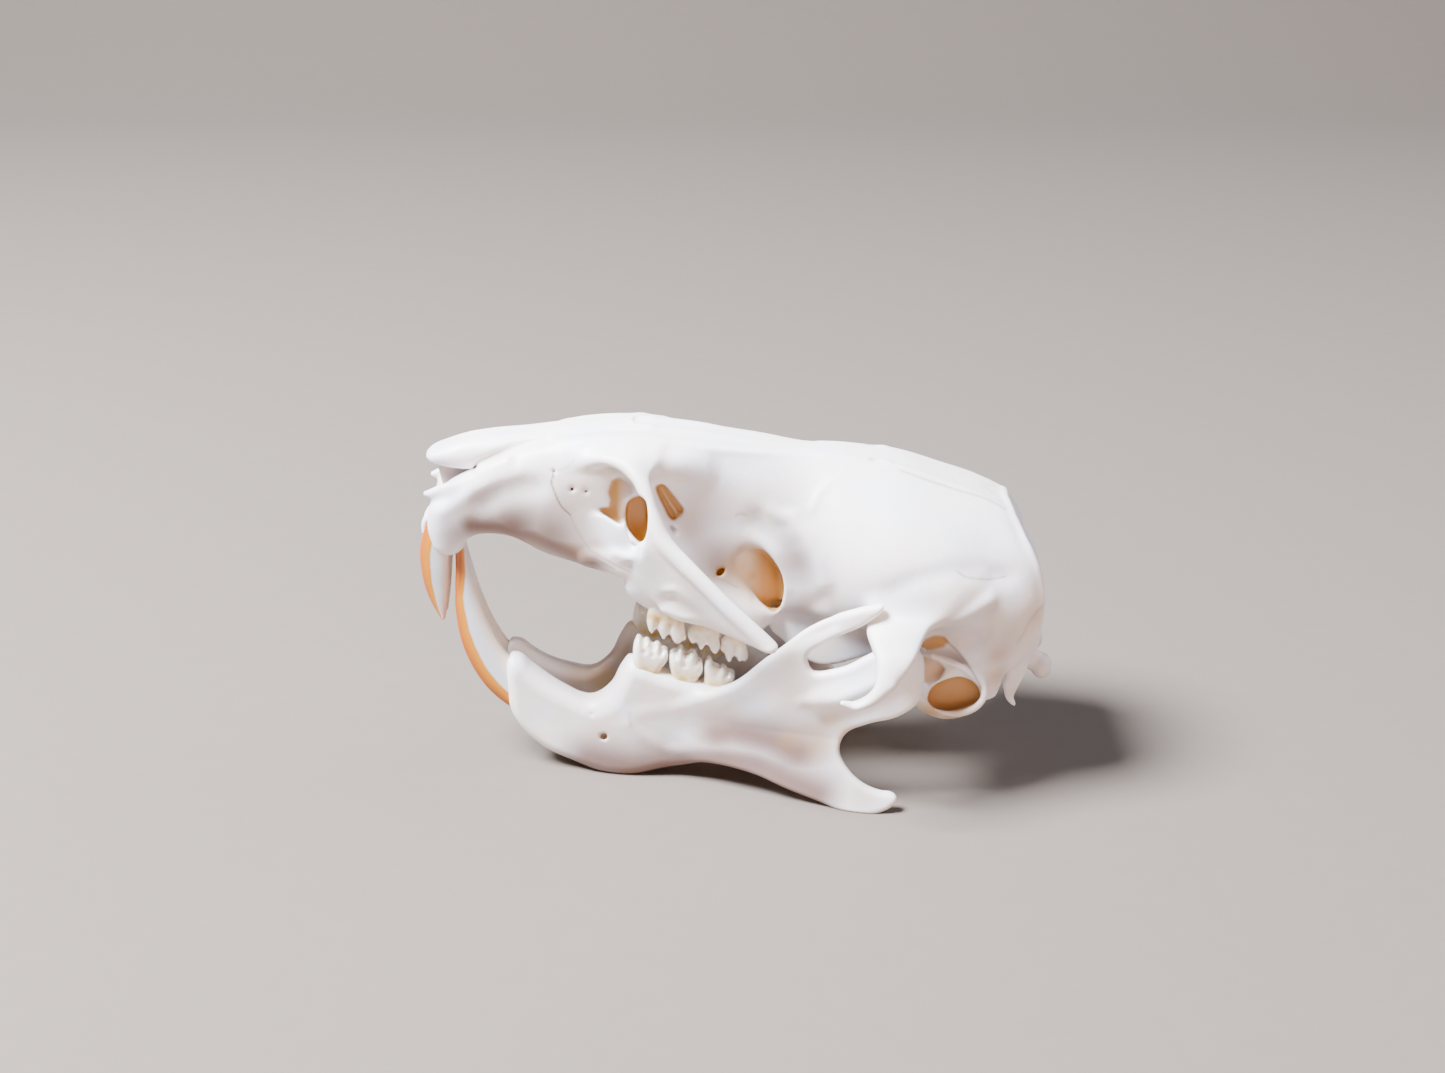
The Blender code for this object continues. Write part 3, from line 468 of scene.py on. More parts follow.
WALL_REAR = ((-6.35, 3.9, 16.9), (-6.25, 4.0, 15.8), (-5.9, 4.0, 14.6))
UPPER_TOOTH_BED = (
    (-8.4, 2.5, 13.7, 0.7, 0.6),
    (-7.0, 2.8, 13.3, 0.7, 0.8),
    (-6.0, 2.85, 13.1, 0.95, 0.9),
    (-5.3, 2.85, 12.5, 1.5, 1.0),
    (-4.6, 2.8, 11.8, 1.5, 1.0),
    (-3.0, 2.8, 11.3, 1.3, 1.05),
    (-1.0, 2.8, 10.6, 1.3, 1.05),
    (0.7, 2.75, 10.0, 1.2, 1.0),
    (1.6, 2.6, 10.1, 0.8, 0.7),
)
PALATE = ((-7.0, 0.0, 12.8, 0.5, 2.2), (-3.0, 0.0, 11.2, 0.6, 2.2), (1.6, 0.0, 9.9, 0.5, 2.0))
# How far from its poles a ball's first and last rings lie, in radians.
POLE_GAP = 0.03


def ball(place, radii):
    """A rounded lump of bone with three half widths."""
    steps = np.linspace(POLE_GAP, math.pi - POLE_GAP, RING_POINTS)[:, None]
    turns = np.linspace(0, 2 * math.pi, RING_POINTS, endpoint=False)[None]
    around = [np.cos(steps) + 0 * turns, np.sin(steps) * np.cos(turns), np.sin(steps) * np.sin(turns)]
    return skin(np.stack(around, axis=-1) * np.array(radii) + np.array(place))


skull.add(limb(PALATE), 0.4)
skull.add(limb(UPPER_TOOTH_BED), 0.4)
skull.add(ball((-5.7, 2.9, 13.7), (1.6, 1.0, 1.4)), 0.5)
skull.add(limb(FRONT_STRUT), 0.4)
skull.add(ruled_plate(WALL_FRONT, WALL_REAR, 0.2), 0.4)
skull.add(ruled_plate(BROW_INNER, BROW_OUTER, 0.25), 0.8)
skull.add(limb([(-5.6, 3.2, 19.2, 0.8, 0.9), (-4.2, 2.7, 18.9, 0.9, 0.8), (-2.2, 2.0, 18.6, 0.9, 0.5)]), 1.0)
skull.add(ruled_plate(CHEEK_PLATE_REAR, CHEEK_PLATE_FRONT, 0.42), 0.35)
skull.add(limb(CHEEK_BAR), 0.6)
# The openings as the side view shows them: two in front of the cheek bar, one behind it, the one that the
# optic nerve ran through, and a small hole beside that.
FACE_OPENING = (
    (-7.40, 16.43), (-7.21, 17.12), (-6.85, 17.27), (-6.49, 17.12), (-6.14, 16.81), (-6.22, 16.35),
    (-6.51, 16.05), (-6.64, 15.51), (-6.53, 14.89), (-6.82, 14.58), (-7.25, 14.81), (-7.96, 15.43),
    (-7.41, 15.51), (-7.29, 15.97),
)
NERVE_OPENING = (
    (-6.47, 15.36), (-6.33, 15.85), (-6.01, 16.09), (-5.62, 16.19), (-5.33, 15.94), (-5.21, 15.36),
    (-5.21, 14.58), (-5.33, 13.81), (-5.51, 13.21), (-5.83, 13.49), (-6.14, 13.88), (-6.39, 14.35),
)
ORBIT_FRONT_OPENING = (
    (-4.70, 16.81), (-4.34, 16.97), (-4.06, 16.66), (-3.56, 15.97), (-3.18, 15.36), (-3.35, 15.02),
    (-3.76, 14.77), (-4.00, 15.02), (-4.21, 15.51), (-4.50, 16.12),
)
OPTIC_OPENING = (
    (0.18, 11.87), (0.35, 12.49), (0.81, 12.93), (1.39, 12.87), (1.86, 12.49), (2.27, 11.93), (2.57, 11.30),
    (2.70, 10.66), (2.65, 9.84), (2.48, 9.26), (2.13, 8.94), (1.77, 9.20), (1.30, 9.71), (0.83, 10.35),
    (0.41, 11.11),
)
PLATE_HOLE = ((-1.26, 11.38), (-1.02, 11.74), (-0.78, 11.74), (-0.87, 11.38), (-1.12, 11.22))
skull.pocket(FACE_OPENING, 9.0, 2.5, 0.35)
skull.pocket(NERVE_OPENING, 9.0, 1.9)
skull.pocket(ORBIT_FRONT_OPENING, 5.2, 2.05, 0.25)
# A thin strut of bone crosses the opening behind the bar.
skull.add(limb([(-4.5, 2.1, 17.7, 0.1, 0.16), (-3.3, 2.2, 15.7, 0.1, 0.16)]), 0.2)
skull.pocket(OPTIC_OPENING, 5.0, 1.5, 0.1, rise=0.55, rise_from=2.3)
skull.pocket(PLATE_HOLE, 4.4, 2.15, 0.08)
# A short slit in the orbit's wall, and three small holes for vessels in the snout's side.
skull.sketch([(-3.82, 14.35), (-3.62, 13.99)], 2.4, 0.12, -0.3)
for spot, radius in (((-9.55, 16.65), 0.13), ((-8.75, 16.52), 0.12), ((-10.55, 17.74), 0.11)):
    skull.drill(spot, 2.9, radius, 0.7)
# The bright lips below the openings and round the pit in the plate above the cheek teeth.
skull.sketch([(-7.15, 12.63), (-6.57, 12.4), (-5.99, 12.48), (-5.55, 12.87), (-5.4, 13.34)], 3.9, 0.28, 0.14)
UPPER_LIP = ((-4.12, 10.27), (-3.68, 10.35), (-3.1, 9.95), (-2.22, 9.39), (-1.34, 8.91))
skull.sketch(UPPER_LIP, 4.9, 0.3, 0.14, 2.0)
skull.sketch([(-4.0, 9.85), (-3.47, 9.75), (-2.7, 9.3)], 4.6, 0.42, -0.2, 1.6)
skull.sketch([(-4.42, 8.99), (-3.40, 8.56), (-2.08, 8.43), (-0.61, 7.63)], 4.6, 0.28, 0.14, 2.0)


# Back of the skull: the hook of the temporal bone over the jaw joint, the hollow ear capsule with its round
# opening, the mastoid, the ridge for the neck muscles and the two knobs that turned on the first neck bone.
HOOK_FRONT = (
    (8.8, 5.5, 12.9), (7.9, 5.8, 12.2), (7.35, 6.2, 11.5), (7.1, 7.0, 10.8), (7.35, 8.0, 10.15),
    (7.6, 8.9, 9.4), (7.45, 9.3, 8.55), (7.0, 9.4, 7.85), (6.4, 9.4, 7.5),
)
HOOK_REAR = (
    (13.4, 5.4, 13.4), (12.2, 6.1, 12.5), (11.3, 6.9, 11.6), (10.5, 7.5, 11.1), (10.0, 8.1, 10.3),
    (9.6, 8.7, 9.7), (9.0, 9.1, 8.95), (8.2, 9.35, 8.2), (7.3, 9.4, 7.55), (6.4, 9.4, 7.3),
)
HOOK_TIP = (
    (8.3, 9.3, 8.6, 0.3, 0.34),
    (7.4, 9.4, 7.85, 0.3, 0.34),
    (6.4, 9.4, 7.4, 0.24, 0.28),
    (5.7, 9.35, 7.55, 0.18, 0.2),
)
MASTOID_FRONT = ((11.8, 6.0, 10.2), (12.4, 6.0, 9.1), (13.0, 5.8, 8.2), (13.5, 5.5, 7.3), (13.95, 5.25, 6.3))
MASTOID_REAR = ((16.5, 4.6, 10.4), (16.3, 4.6, 9.3), (15.8, 4.7, 8.2), (15.2, 4.85, 7.2), (14.5, 5.05, 6.2))
EAR_SPUR = (
    (15.7, 4.3, 8.6, 1.0, 0.5),
    (15.75, 4.35, 7.3, 0.75, 0.4),
    (15.6, 4.4, 6.2, 0.45, 0.28),
    (15.6, 4.4, 5.5, 0.24, 0.22),
    (15.9, 4.4, 5.05, 0.13, 0.14),
)
NECK_CONDYLE = ((15.8, 1.5, 9.0, 0.9, 1.0), (16.4, 1.7, 7.9, 0.85, 0.85), (17.15, 1.95, 6.75, 0.6, 0.6))
NECK_CREST = (
    (15.4, 0.0, 16.2), (15.6, 2.0, 15.9), (16.2, 3.5, 14.9), (16.8, 4.2, 13.5), (17.15, 4.6, 12.0),
    (17.05, 4.8, 10.9), (16.6, 4.85, 9.9),
)
NECK_GROOVE = ((17.6, 9.0), (17.12, 8.25), (16.82, 7.51), (16.5, 6.9), (16.05, 5.8), (15.7, 4.7))
# The rim of the ear opening: its middle, its half widths, how far its top leans in, and how thick it is.
EAR_PLACE = (12.3, 6.1, 6.7)
EAR_RING = (1.62, 1.25)
EAR_RING_POINTS, EAR_RING_TILT = 25, 0.25
EAR_RING_HALVES = (0.2, 0.24)
WING_TOP = ((1.4, 2.3, 10.2), (4.4, 2.7, 10.2), (7.6, 3.3, 9.8))
WING_EDGE = ((2.0, 2.3, 8.7), (4.6, 2.9, 6.9), (8.0, 3.5, 7.9))
THROAT_TOP = ((1.8, 1.2, 10.4), (5.0, 1.2, 10.2), (8.6, 1.4, 9.4))
THROAT_EDGE = ((2.6, 1.2, 9.2), (5.6, 1.2, 7.8), (8.4, 1.6, 7.2))
POST_GLENOID = (
    (10.86, 6.77), (11.10, 7.14), (11.60, 7.36), (12.19, 7.29), (12.37, 6.99), (12.13, 6.74), (11.54, 6.59),
    (11.04, 6.44),
)
DRUM_RECESS = ((10.89, 6.03), (11.83, 5.75), (12.27, 5.28), (11.95, 4.63), (11.37, 4.35), (10.93, 4.63))
EAR_OPENING = (
    (11.37, 3.22), (11.42, 3.78), (11.80, 4.25), (12.38, 4.57), (13.22, 4.76), (14.00, 4.44), (14.36, 3.97),
    (14.47, 3.50), (14.15, 3.03), (13.48, 2.69), (12.63, 2.50), (11.85, 2.69),
)

ear_rim = []
for turn in np.linspace(0, 2 * math.pi, EAR_RING_POINTS):
    out = EAR_PLACE[1] - EAR_RING_TILT * math.sin(turn)
    x = EAR_PLACE[0] + EAR_RING[0] * math.cos(turn)
    ear_rim.append((x, out, EAR_PLACE[2] + EAR_RING[1] * math.sin(turn), *EAR_RING_HALVES))
skull.add(ball((12.0, 4.4, 6.75), (2.5, 1.9, 2.45)), 0.4)
skull.add(ruled_plate(MASTOID_FRONT, MASTOID_REAR, 0.55), 0.6)
skull.add(ball((14.2, 5.2, 6.35), (0.45, 0.4, 0.5)), 0.4)
skull.add(ball((15.5, 0.0, 11.2), (2.15, 3.4, 3.0)), 0.6)
skull.add(limb(NECK_CONDYLE), 0.4)
skull.add(ball((17.68, 2.0, 6.45), (0.62, 0.85, 0.76)), 0.14)
skull.add(limb(EAR_SPUR), 0.3)
skull.stroke(NECK_CREST, 0.3, 0.26)
skull.sketch(NECK_GROOVE, 4.8, 0.3, -0.15, 1.5)
skull.stroke([(10.3, 7.4, 10.9), (11.2, 7.05, 11.1), (12.3, 6.8, 11.5), (13.9, 6.3, 12.4)], 0.4, 0.2)
skull.stroke([(11.6, 6.3, 10.0), (13.2, 6.1, 10.3)], 0.9, -0.3)
skull.add(ruled_plate(WING_TOP, WING_EDGE, 0.22), 0.25)
skull.add(ruled_plate(THROAT_TOP, THROAT_EDGE, 0.22), 0.25)
skull.add(limb(ear_rim), 0.25)
skull.add(ruled_plate(HOOK_FRONT, HOOK_REAR, 0.42), 1.0)
skull.add(limb(HOOK_TIP), 0.3)
skull.pocket(POST_GLENOID, 8.0, 5.75)
skull.pocket(DRUM_RECESS, 8.0, 5.5, 0.3)
skull.pocket(EAR_OPENING, 8.0, 5.15)
skull.carve(ball((17.9, 0.0, 9.4), (2.4, 1.9, 1.5)), 0.2)
skull.add(limb([(10.9, 6.0, 8.9, 0.2, 0.3), (12.4, 6.3, 8.4, 0.18, 0.3), (13.6, 6.0, 7.3, 0.16, 0.3)]), 0.15)
# A shell that is smaller than this share of the largest one is a crumb or a sealed hollow.
STRAY_SHARE = 0.05


def main_shells(points, faces):
    """Drops loose crumbs and sealed hollows, and keeps the surfaces that show."""
    label = np.arange(len(points))
    edges = np.concatenate([faces[:, [0, 1]], faces[:, [1, 2]], faces[:, [2, 3]]])
    while True:
        before = label.copy()
        lower = np.minimum(label[edges[:, 0]], label[edges[:, 1]])
        np.minimum.at(label, edges[:, 0], lower)
        np.minimum.at(label, edges[:, 1], lower)
        label = label[label]
        if (label == before).all():
            break
    sizes = np.bincount(label)
    kept = sizes[label] > STRAY_SHARE * sizes.max()
    faces = faces[kept[faces[:, 0]]]
    return points[kept], (np.cumsum(kept) - 1)[faces]


def surface(clay, mirrored):
    """The clay's surface as points in mm and four-sided faces that look outwards."""
    field, first = clay.field, clay.first.copy()
    if mirrored:
        field = np.concatenate([field[:, :0:-1], field], axis=1)
        first[1] = 1 - clay.size[1]
    grid = openvdb.FloatGrid(clay.far)
    grid.copyFromArray(np.ascontiguousarray(field))
    grid.transform = openvdb.createLinearTransform(voxelSize=clay.grain)
    points, faces = grid.convertToQuads(isovalue=0.0)
    points, faces = main_shells(points.astype(float) + first * clay.grain, faces.astype(int))
    a, b, c, d = (points[faces[:, k]] for k in range(4))
    volume = (np.cross(c - a, d - b) * a).sum()
    return points, faces if volume > 0 else faces[:, ::-1]


skull.softened()
skull_points, skull_faces = surface(skull, True)

# What the bone shows besides its shape is painted on the points of its mesh: painted shade in its hollows,
# amber that is painted glow of light through thin bone and painted shade in the openings, rosy painted shade
# on broad walls and undersides, and the dark hairlines where two bones meet, with one painted shade line
# among them.
FINE_REACH, BROAD_REACH = 0.6, 1.5
# How softly the paint of an opening ends at its outline and mouth, and how far behind its floor it goes.
POCKET_EDGE, POCKET_RAMP, POCKET_BEHIND = 0.16, 0.5, 0.3
SEAM_POINTS = 24
# A place that is this much short of the grid's end still has a neighbour on its far side.
JUST_OVER_ONE = 1.001
MM = 0.001


def box_mean(values, reach):
    """The mean of all values up to reach steps away along each axis."""
    for axis in range(3):
        total = np.cumsum(values, axis=axis, dtype=np.float32)
        values = (np.roll(total, -reach, axis) - np.roll(total, reach + 1, axis)) / (2 * reach + 1)
    return values


def sampled(clay, values, points):
    """Values of the grid at points in mm, blended between the eight nearest."""
    place = points.copy()
    place[:, 1] = np.abs(place[:, 1])
    place = np.clip(place / clay.grain - clay.first, 0, clay.size - JUST_OVER_ONE)
    low = place.astype(int)
    share = place - low
    result = np.zeros(len(points))
    for corner in np.ndindex(2, 2, 2):
        weight = np.prod(np.where(corner, share, 1 - share), axis=1)
        result += weight * values[tuple((low + corner).T)]
    return result


def hollows(clay, points, reach_mm):
    """Below one half on swellings, one half on flat bone and 1 deep in a hollow, looking this far around."""
    solid = np.clip(0.5 - clay.field / (2 * clay.grain), 0, 1)
    reach = round(reach_mm / clay.grain)
    padding = ((reach, reach), (0, 0), (reach, reach))
    solid = np.pad(solid, padding)
    solid = np.concatenate([solid[:, reach:0:-1], solid, solid[:, -reach:] * 0], axis=1)
    mean = box_mean(box_mean(solid, reach // 2), reach // 2)
    mean = mean[reach:-reach, reach:-reach, reach:-reach]
    return np.clip(sampled(clay, mean, points), 0, 1)


def bone_hollows(clay, points):
    """How hollow the bone is at these points, seen closely and broadly in equal parts."""
    return 0.5 * hollows(clay, points, FINE_REACH) + 0.5 * hollows(clay, points, BROAD_REACH)


def spots(points, marks):
    """The strongest of several soft round marks, each (x, out, height, reach, strength)."""
    best = np.zeros(len(points))
    for x, out, z, reach, strength in marks:
        away = (points[:, 0] - x) ** 2 + (np.abs(points[:, 1]) - out) ** 2 + (points[:, 2] - z) ** 2
        best = np.maximum(best, strength * np.exp(-away / reach**2))
    return best


def hairline(points, line, out, wide, strength, depth=1.4):
    """A thin mark along a line of the side view, on what lies within depth of this distance out."""
    away = np.abs(points[:, 1])
    near = np.flatnonzero(np.abs(away - out) < depth)
    across, up = drawn(points[near, 0], away[near], points[near, 2])
    marked = np.zeros(len(points))
    marked[near] = strength * np.exp(-((line_distance((across, up), line) / wide) ** 2))
    return marked


def inside_pocket(points, outline, floor, mouth):
    """1 on the walls and floor of an opening of the side view, 0 outside it."""
    away = np.abs(points[:, 1])
    near = np.flatnonzero((away > floor - POCKET_BEHIND) & (away < mouth))
    across, up = drawn(points[near, 0], away[near], points[near, 2])
    deep = np.clip((mouth - away[near]) / POCKET_RAMP, 0, 1)
    inside = np.zeros(len(points))
    inside[near] = deep * np.clip(1 - outline_distance(outline, across, up) / POCKET_EDGE, 0, 1)
    return inside


# Each opening's outline, floor, mouth and strength of amber, which is painted glow of light through thin bone
# and painted shade deep in the opening, and how the amber fades along the skull: from which place, over how
# many mm (forwards if above zero), and the least share that is left.
EVEN = (0.0, 1.0, 1.0)
POCKETS = (
    (FACE_OPENING, 2.5, 3.9, 0.95, (-6.9, -1.1, 0.3)),
    (NERVE_OPENING, 1.9, 4.1, 1.0, EVEN),
    (ORBIT_FRONT_OPENING, 1.85, 3.0, 0.85, EVEN),
    (OPTIC_OPENING, 1.4, 3.2, 0.9, (1.4, 3.0, 0.7)),
    (PLATE_HOLE, 1.9, 3.2, 1.0, EVEN),
    (POST_GLENOID, 5.4, 6.9, 0.87, EVEN),
    (DRUM_RECESS, 5.5, 6.6, 0.6, EVEN),
    (EAR_OPENING, 5.0, 6.0, 0.87, EVEN),
)
# Soft round marks of amber, painted glow of light through thin bone and painted shade, and of rosy painted
# shade, each (x, out, height, reach, strength).
glow_and_shade_marks = (
    (-7.9, 2.9, 14.6, 0.6, 0.25),
    (12.2, 5.6, 4.9, 1.1, 0.75),
    (10.9, 5.6, 5.0, 1.2, 0.8),
    (14.1, 5.8, 11.9, 0.75, 0.4),
    (14.5, 5.6, 8.9, 0.75, 0.5),
    (14.5, 5.4, 7.4, 0.75, 0.55),
    (16.5, 4.8, 11.0, 0.75, 0.4),
    (13.1, 6.0, 12.9, 0.75, 0.2),
    (7.5, 1.25, 18.85, 0.22, 0.75),
    (2.3, 1.8, 18.7, 0.12, 0.5),
    (-16.6, 0.1, 17.8, 1.0, 0.2),
    (-9.0, 2.9, 14.4, 0.7, 0.2),
    (15.7, 4.2, 5.9, 0.4, 0.6),
    (14.9, 5.3, 7.4, 0.6, 0.3),
    (14.2, 5.5, 6.6, 0.4, 0.25),
    (1.2, 2.5, 13.2, 0.9, 0.55),
    (0.3, 2.4, 12.8, 1.1, 0.6),
    (12.5, 1.5, 17.5, 1.2, 0.1),
    (15.6, 3.0, 15.8, 0.9, 0.14),
    (16.9, 4.4, 13.0, 0.8, 0.14),
    (17.1, 4.7, 11.2, 0.9, 0.16),
    (0.9, 2.4, 12.2, 1.1, 0.85),
    (0.6, 2.4, 13.4, 1.0, 0.6),
    (0.0, 0.0, 10.4, 1.6, 0.3),
    (17.2, 0.0, 9.0, 1.6, 0.5),
)
painted_shade_marks = (
    (-14.0, 2.7, 15.6, 1.8, 0.8),
    (-12.6, 2.8, 15.4, 2.2, 1.0),
    (-10.6, 2.8, 15.0, 2.2, 0.9),
    (-8.6, 2.8, 13.8, 1.4, 0.6),
    (-15.6, 2.6, 15.0, 1.2, 0.5),
    (-16.4, 0.1, 17.6, 1.4, 0.7),
    (2.9, 3.7, 11.6, 0.8, 0.6),
    (-2.6, 6.9, 12.4, 1.2, 0.3),
    (-16.0, 2.2, 17.2, 0.7, 0.5),
    (-5.2, 4.4, 18.5, 1.0, 0.35),
    (-1.5, 2.5, 14.5, 2.5, 0.35),
    (-1.0, 2.5, 13.0, 1.9, 0.9),
    (2.2, 2.8, 16.4, 1.8, 0.45),
    (3.0, 3.9, 13.6, 1.8, 0.95),
    (7.4, 7.6, 9.6, 1.2, 0.6),
    (6.8, 8.8, 8.4, 1.0, 0.5),
    (8.5, 7.0, 10.3, 1.2, 0.3),
    (7.8, 8.6, 8.0, 0.8, 0.35),
    (17.7, 2.0, 6.3, 0.7, 0.5),
    (3.8, 3.6, 10.8, 2.0, 0.6),
    (-6.4, 3.0, 17.6, 1.2, 0.3),
    (7.6, 4.6, 9.0, 2.2, 0.7),
    (9.6, 6.2, 10.6, 1.4, 0.3),
    (11.6, 6.3, 10.6, 1.6, 0.35),
    (14.6, 5.6, 10.2, 1.4, 0.3),
)
ROOF_SEAM = ((4.49, 19.53), (6.78, 19.19), (9.07, 18.93), (11.38, 18.07), (13.37, 17.37), (14.73, 16.32))
# Hairlines, each a line of the side view, its distance out, its width and its strength. Most are the dark
# seams where two bones meet; the first is painted shade along the trough above the brow ridge.
seam_and_shade_lines = (
    (BROW_TROUGH[:-1], 2.6, 0.2, 0.1),
    ([(-10.55, 17.68), (-10.69, 17.01), (-10.53, 16.40), (-10.15, 15.54), (-9.70, 15.05)], 3.0, 0.055, 1.0),
    ([(-9.70, 15.05), (-9.54, 14.61), (-8.99, 13.49), (-8.43, 12.68)], 3.0, 0.06, 0.35),
    ([(-10.55, 17.68), (-9.74, 17.99), (-9.21, 18.71)], 3.0, 0.06, 0.3),
    ([(-8.67, 12.87), (-7.88, 12.40), (-7.02, 11.85), (-6.22, 11.46)], 3.4, 0.06, 0.45),
    ([(-9.34, 12.24), (-8.32, 12.24), (-7.17, 11.61)], 3.0, 0.06, 0.4),
    ([(-2.21, 11.30), (-1.05, 11.06), (-0.02, 10.51)], 2.8, 0.07, 0.3),
    ([(-0.11, 15.02), (0.18, 15.12), (0.47, 15.02)], 2.6, 0.09, 0.4),
    ([(12.78, 11.52), (13.30, 11.16), (14.14, 11.02), (14.97, 11.02), (15.63, 11.20)], 6.0, 0.06, 0.5),
    ([(9.26, 17.80), (11.09, 17.10), (12.75, 16.54), (14.42, 15.98), (15.43, 15.40)], 2.6, 0.07, 0.5),
    (ROOF_SEAM, 1.0, 0.05, 0.18),
    ([(17.90, 9.35), (17.58, 8.98), (17.12, 8.25), (16.82, 7.51), (16.51, 6.96)], 5.2, 0.07, 0.25),
    ([(12.28, 7.14), (12.99, 6.40), (13.70, 5.47), (14.25, 4.54), (14.53, 3.97)], 5.9, 0.07, 0.55),
)

# Painted shade: the hollower the bone, the darker and rosier it is painted.
hollow_shade = bone_hollows(skull, skull_points)
# Painted glow and shade: amber in the openings and on thin walls, deepest and darkest on the openings'
# floors.
glow_and_shade = spots(skull_points, glow_and_shade_marks)
for outline, floor, mouth, strength, (fade_from, fade_over, least) in POCKETS:
    painted = strength * inside_pocket(skull_points, outline, floor, mouth)
    painted *= np.clip(1 + (skull_points[:, 0] - fade_from) / fade_over, least, 1)
    glow_and_shade = np.maximum(glow_and_shade, painted)
# Painted shade: rose on broad walls, on undersides and under the snout.
painted_shade = spots(skull_points, painted_shade_marks)
under_snout = [(-15.4, 14.4), (-13.8, 14.3), (-12.0, 13.8), (-10.0, 12.9), (-8.5, 12.2)]
shaded = hairline(skull_points, under_snout, out=2.6, wide=0.9, strength=1.0, depth=1.8)
painted_shade = np.maximum(painted_shade, shaded)
# Dark seams where bones meet, and one painted shade line along the brow's trough.
seam_and_shade = np.zeros(len(skull_points))
for line, out, wide, strength in seam_and_shade_lines:
    seam_and_shade = np.maximum(seam_and_shade, hairline(skull_points, through(line, SEAM_POINTS), out, wide, strength))


def made_mesh(name, points, face_sets, marks, material, side=1, ahead=0.0):
    """A mesh object from points in mm, mirrored if side is -1, with painted marks as values on its points."""
    moved = (points * (1, side, 1) - (ahead, 0, 0)) * MM
    corners = np.concatenate([faces[:, ::side].ravel() for faces in face_sets])
    sizes = np.concatenate([np.full(len(faces), faces.shape[1]) for faces in face_sets])
    mesh = bpy.data.meshes.new(name)
    mesh.vertices.add(len(moved))
    mesh.vertices.foreach_set("co", moved.astype(np.float32).ravel())
    mesh.loops.add(len(corners))
    mesh.loops.foreach_set("vertex_index", corners.astype(np.int32))
    mesh.polygons.add(len(sizes))
    mesh.polygons.foreach_set("loop_start", (np.cumsum(sizes) - sizes).astype(np.int32))
    mesh.update(calc_edges=True)
    mesh.shade_smooth()
    for mark, values in marks.items():
        layer = mesh.attributes.new(mark, "FLOAT", "POINT")
        layer.data.foreach_set("value", values.astype(np.float32))
    mesh.materials.append(material)
    piece = bpy.data.objects.new(name, mesh)
    bpy.context.scene.collection.objects.link(piece)
    return piece


def linear(code):
    """The linear colour of an sRGB hex code."""
    parts = [int(code[k : k + 2], 16) / 255 for k in (1, 3, 5)]
    return [p / 12.92 if p <= 0.04045 else ((p + 0.055) / 1.055) ** 2.4 for p in parts] + [1.0]


def node(tree, kind, settings=(), **links):
    """Adds one node, sets its properties, and fills or links its inputs by name."""
    made = tree.nodes.new(kind)
    for key, value in dict(settings).items():
        setattr(made, key, value)
    for key, value in links.items():
        name = int(key[1:]) if key[1:].isdigit() else key.replace("_", " ")
        if isinstance(value, bpy.types.NodeSocket):
            tree.links.new(value, made.inputs[name])
        else:
            made.inputs[name].default_value = value
    return made


def new_material(name):
    """A material without any nodes yet, and its node tree."""
    material = bpy.data.materials.new(name)
    material.use_nodes = True
    material.node_tree.nodes.clear()
    return material, material.node_tree


def per_metre(size_mm):
    """The scale of a texture whose features are this many millimetres across."""
    return 1000 / size_mm


MIX_COLOURS = {"data_type": "RGBA"}

# Bleached bone: cleaned, degreased and whitened, then left as it came out of the bath. The outer layer is
# dense and satin, so it has soft highlights, and light goes a little way in, which softens every shadow.
BONE_WHITE = linear("#F5EFE9")
BONE_COOL = linear("#EBEDF5")
BONE_WARM = linear("#EFE2D2")
# The rose is painted shade, and the two ambers are painted glow of light through thin bone and its deeper
# painted shade.
SHADE_ROSE = linear("#70564D")
GLOW_AMBER = linear("#B98A34")
DEEP_SHADE_AMBER = linear("#A4661E")
SEAM_AND_SHADE_BROWN = linear("#84684F")
PORE_SHARE, SEAM_DEPTH = 0.25, -0.8

bleached_bone, tree = new_material("bleached_bone_degreased")
place = node(tree, "ShaderNodeTexCoord").outputs["Object"]
hollow_shade_mark, glow_and_shade_mark, painted_shade_mark, seam_and_shade_mark = (
    node(tree, "ShaderNodeAttribute", {"attribute_name": mark}).outputs["Fac"]
    for mark in ("hollow_shade", "glow_and_shade", "painted_shade", "seam_and_shade")
)
# Clouds, mottling and pores. Real pores are about 0.05 mm wide, too fine to show, so these are 0.22 mm apart.
cloud, mottle, pores = (
    node(
        tree, "ShaderNodeTexNoise", Vector=place, Scale=per_metre(size), Detail=detail, Roughness=roughness
    ).outputs["Fac"]
    for size, detail, roughness in ((4.0, 3.0, 0.55), (0.9, 4.0, 0.6), (0.22, 3.0, 0.6))
)
# Tints over the white: what brings each one out, from which value to which, its full strength and its colour.
# The rose over hollows and marks is painted shade, the amber is painted glow of light through thin bone with
# painted shade where it is strongest, and the brown is the seams plus one painted shade line.
tints = (
    (cloud, 0.42, 0.62, 1.0, BONE_COOL),
    (mottle, 0.5, 0.75, 0.35, BONE_WARM),
    (hollow_shade_mark, 0.53, 0.8, 0.9, SHADE_ROSE),
    (painted_shade_mark, 0.0, 1.0, 0.95, SHADE_ROSE),
    (glow_and_shade_mark, 0.0, 1.0, 1.0, GLOW_AMBER),
    (glow_and_shade_mark, 0.75, 1.0, 0.45, DEEP_SHADE_AMBER),
    (seam_and_shade_mark, 0.0, 1.0, 1.0, SEAM_AND_SHADE_BROWN),
)
colour = BONE_WHITE
for source, start, full, strength, tint in tints:
    share = node(tree, "ShaderNodeMapRange", Value=source, From_Min=start, From_Max=full, To_Max=strength)
    mixed = node(tree, "ShaderNodeMix", MIX_COLOURS, _0=share.outputs["Result"], _6=colour, _7=tint)
    colour = mixed.outputs[2]

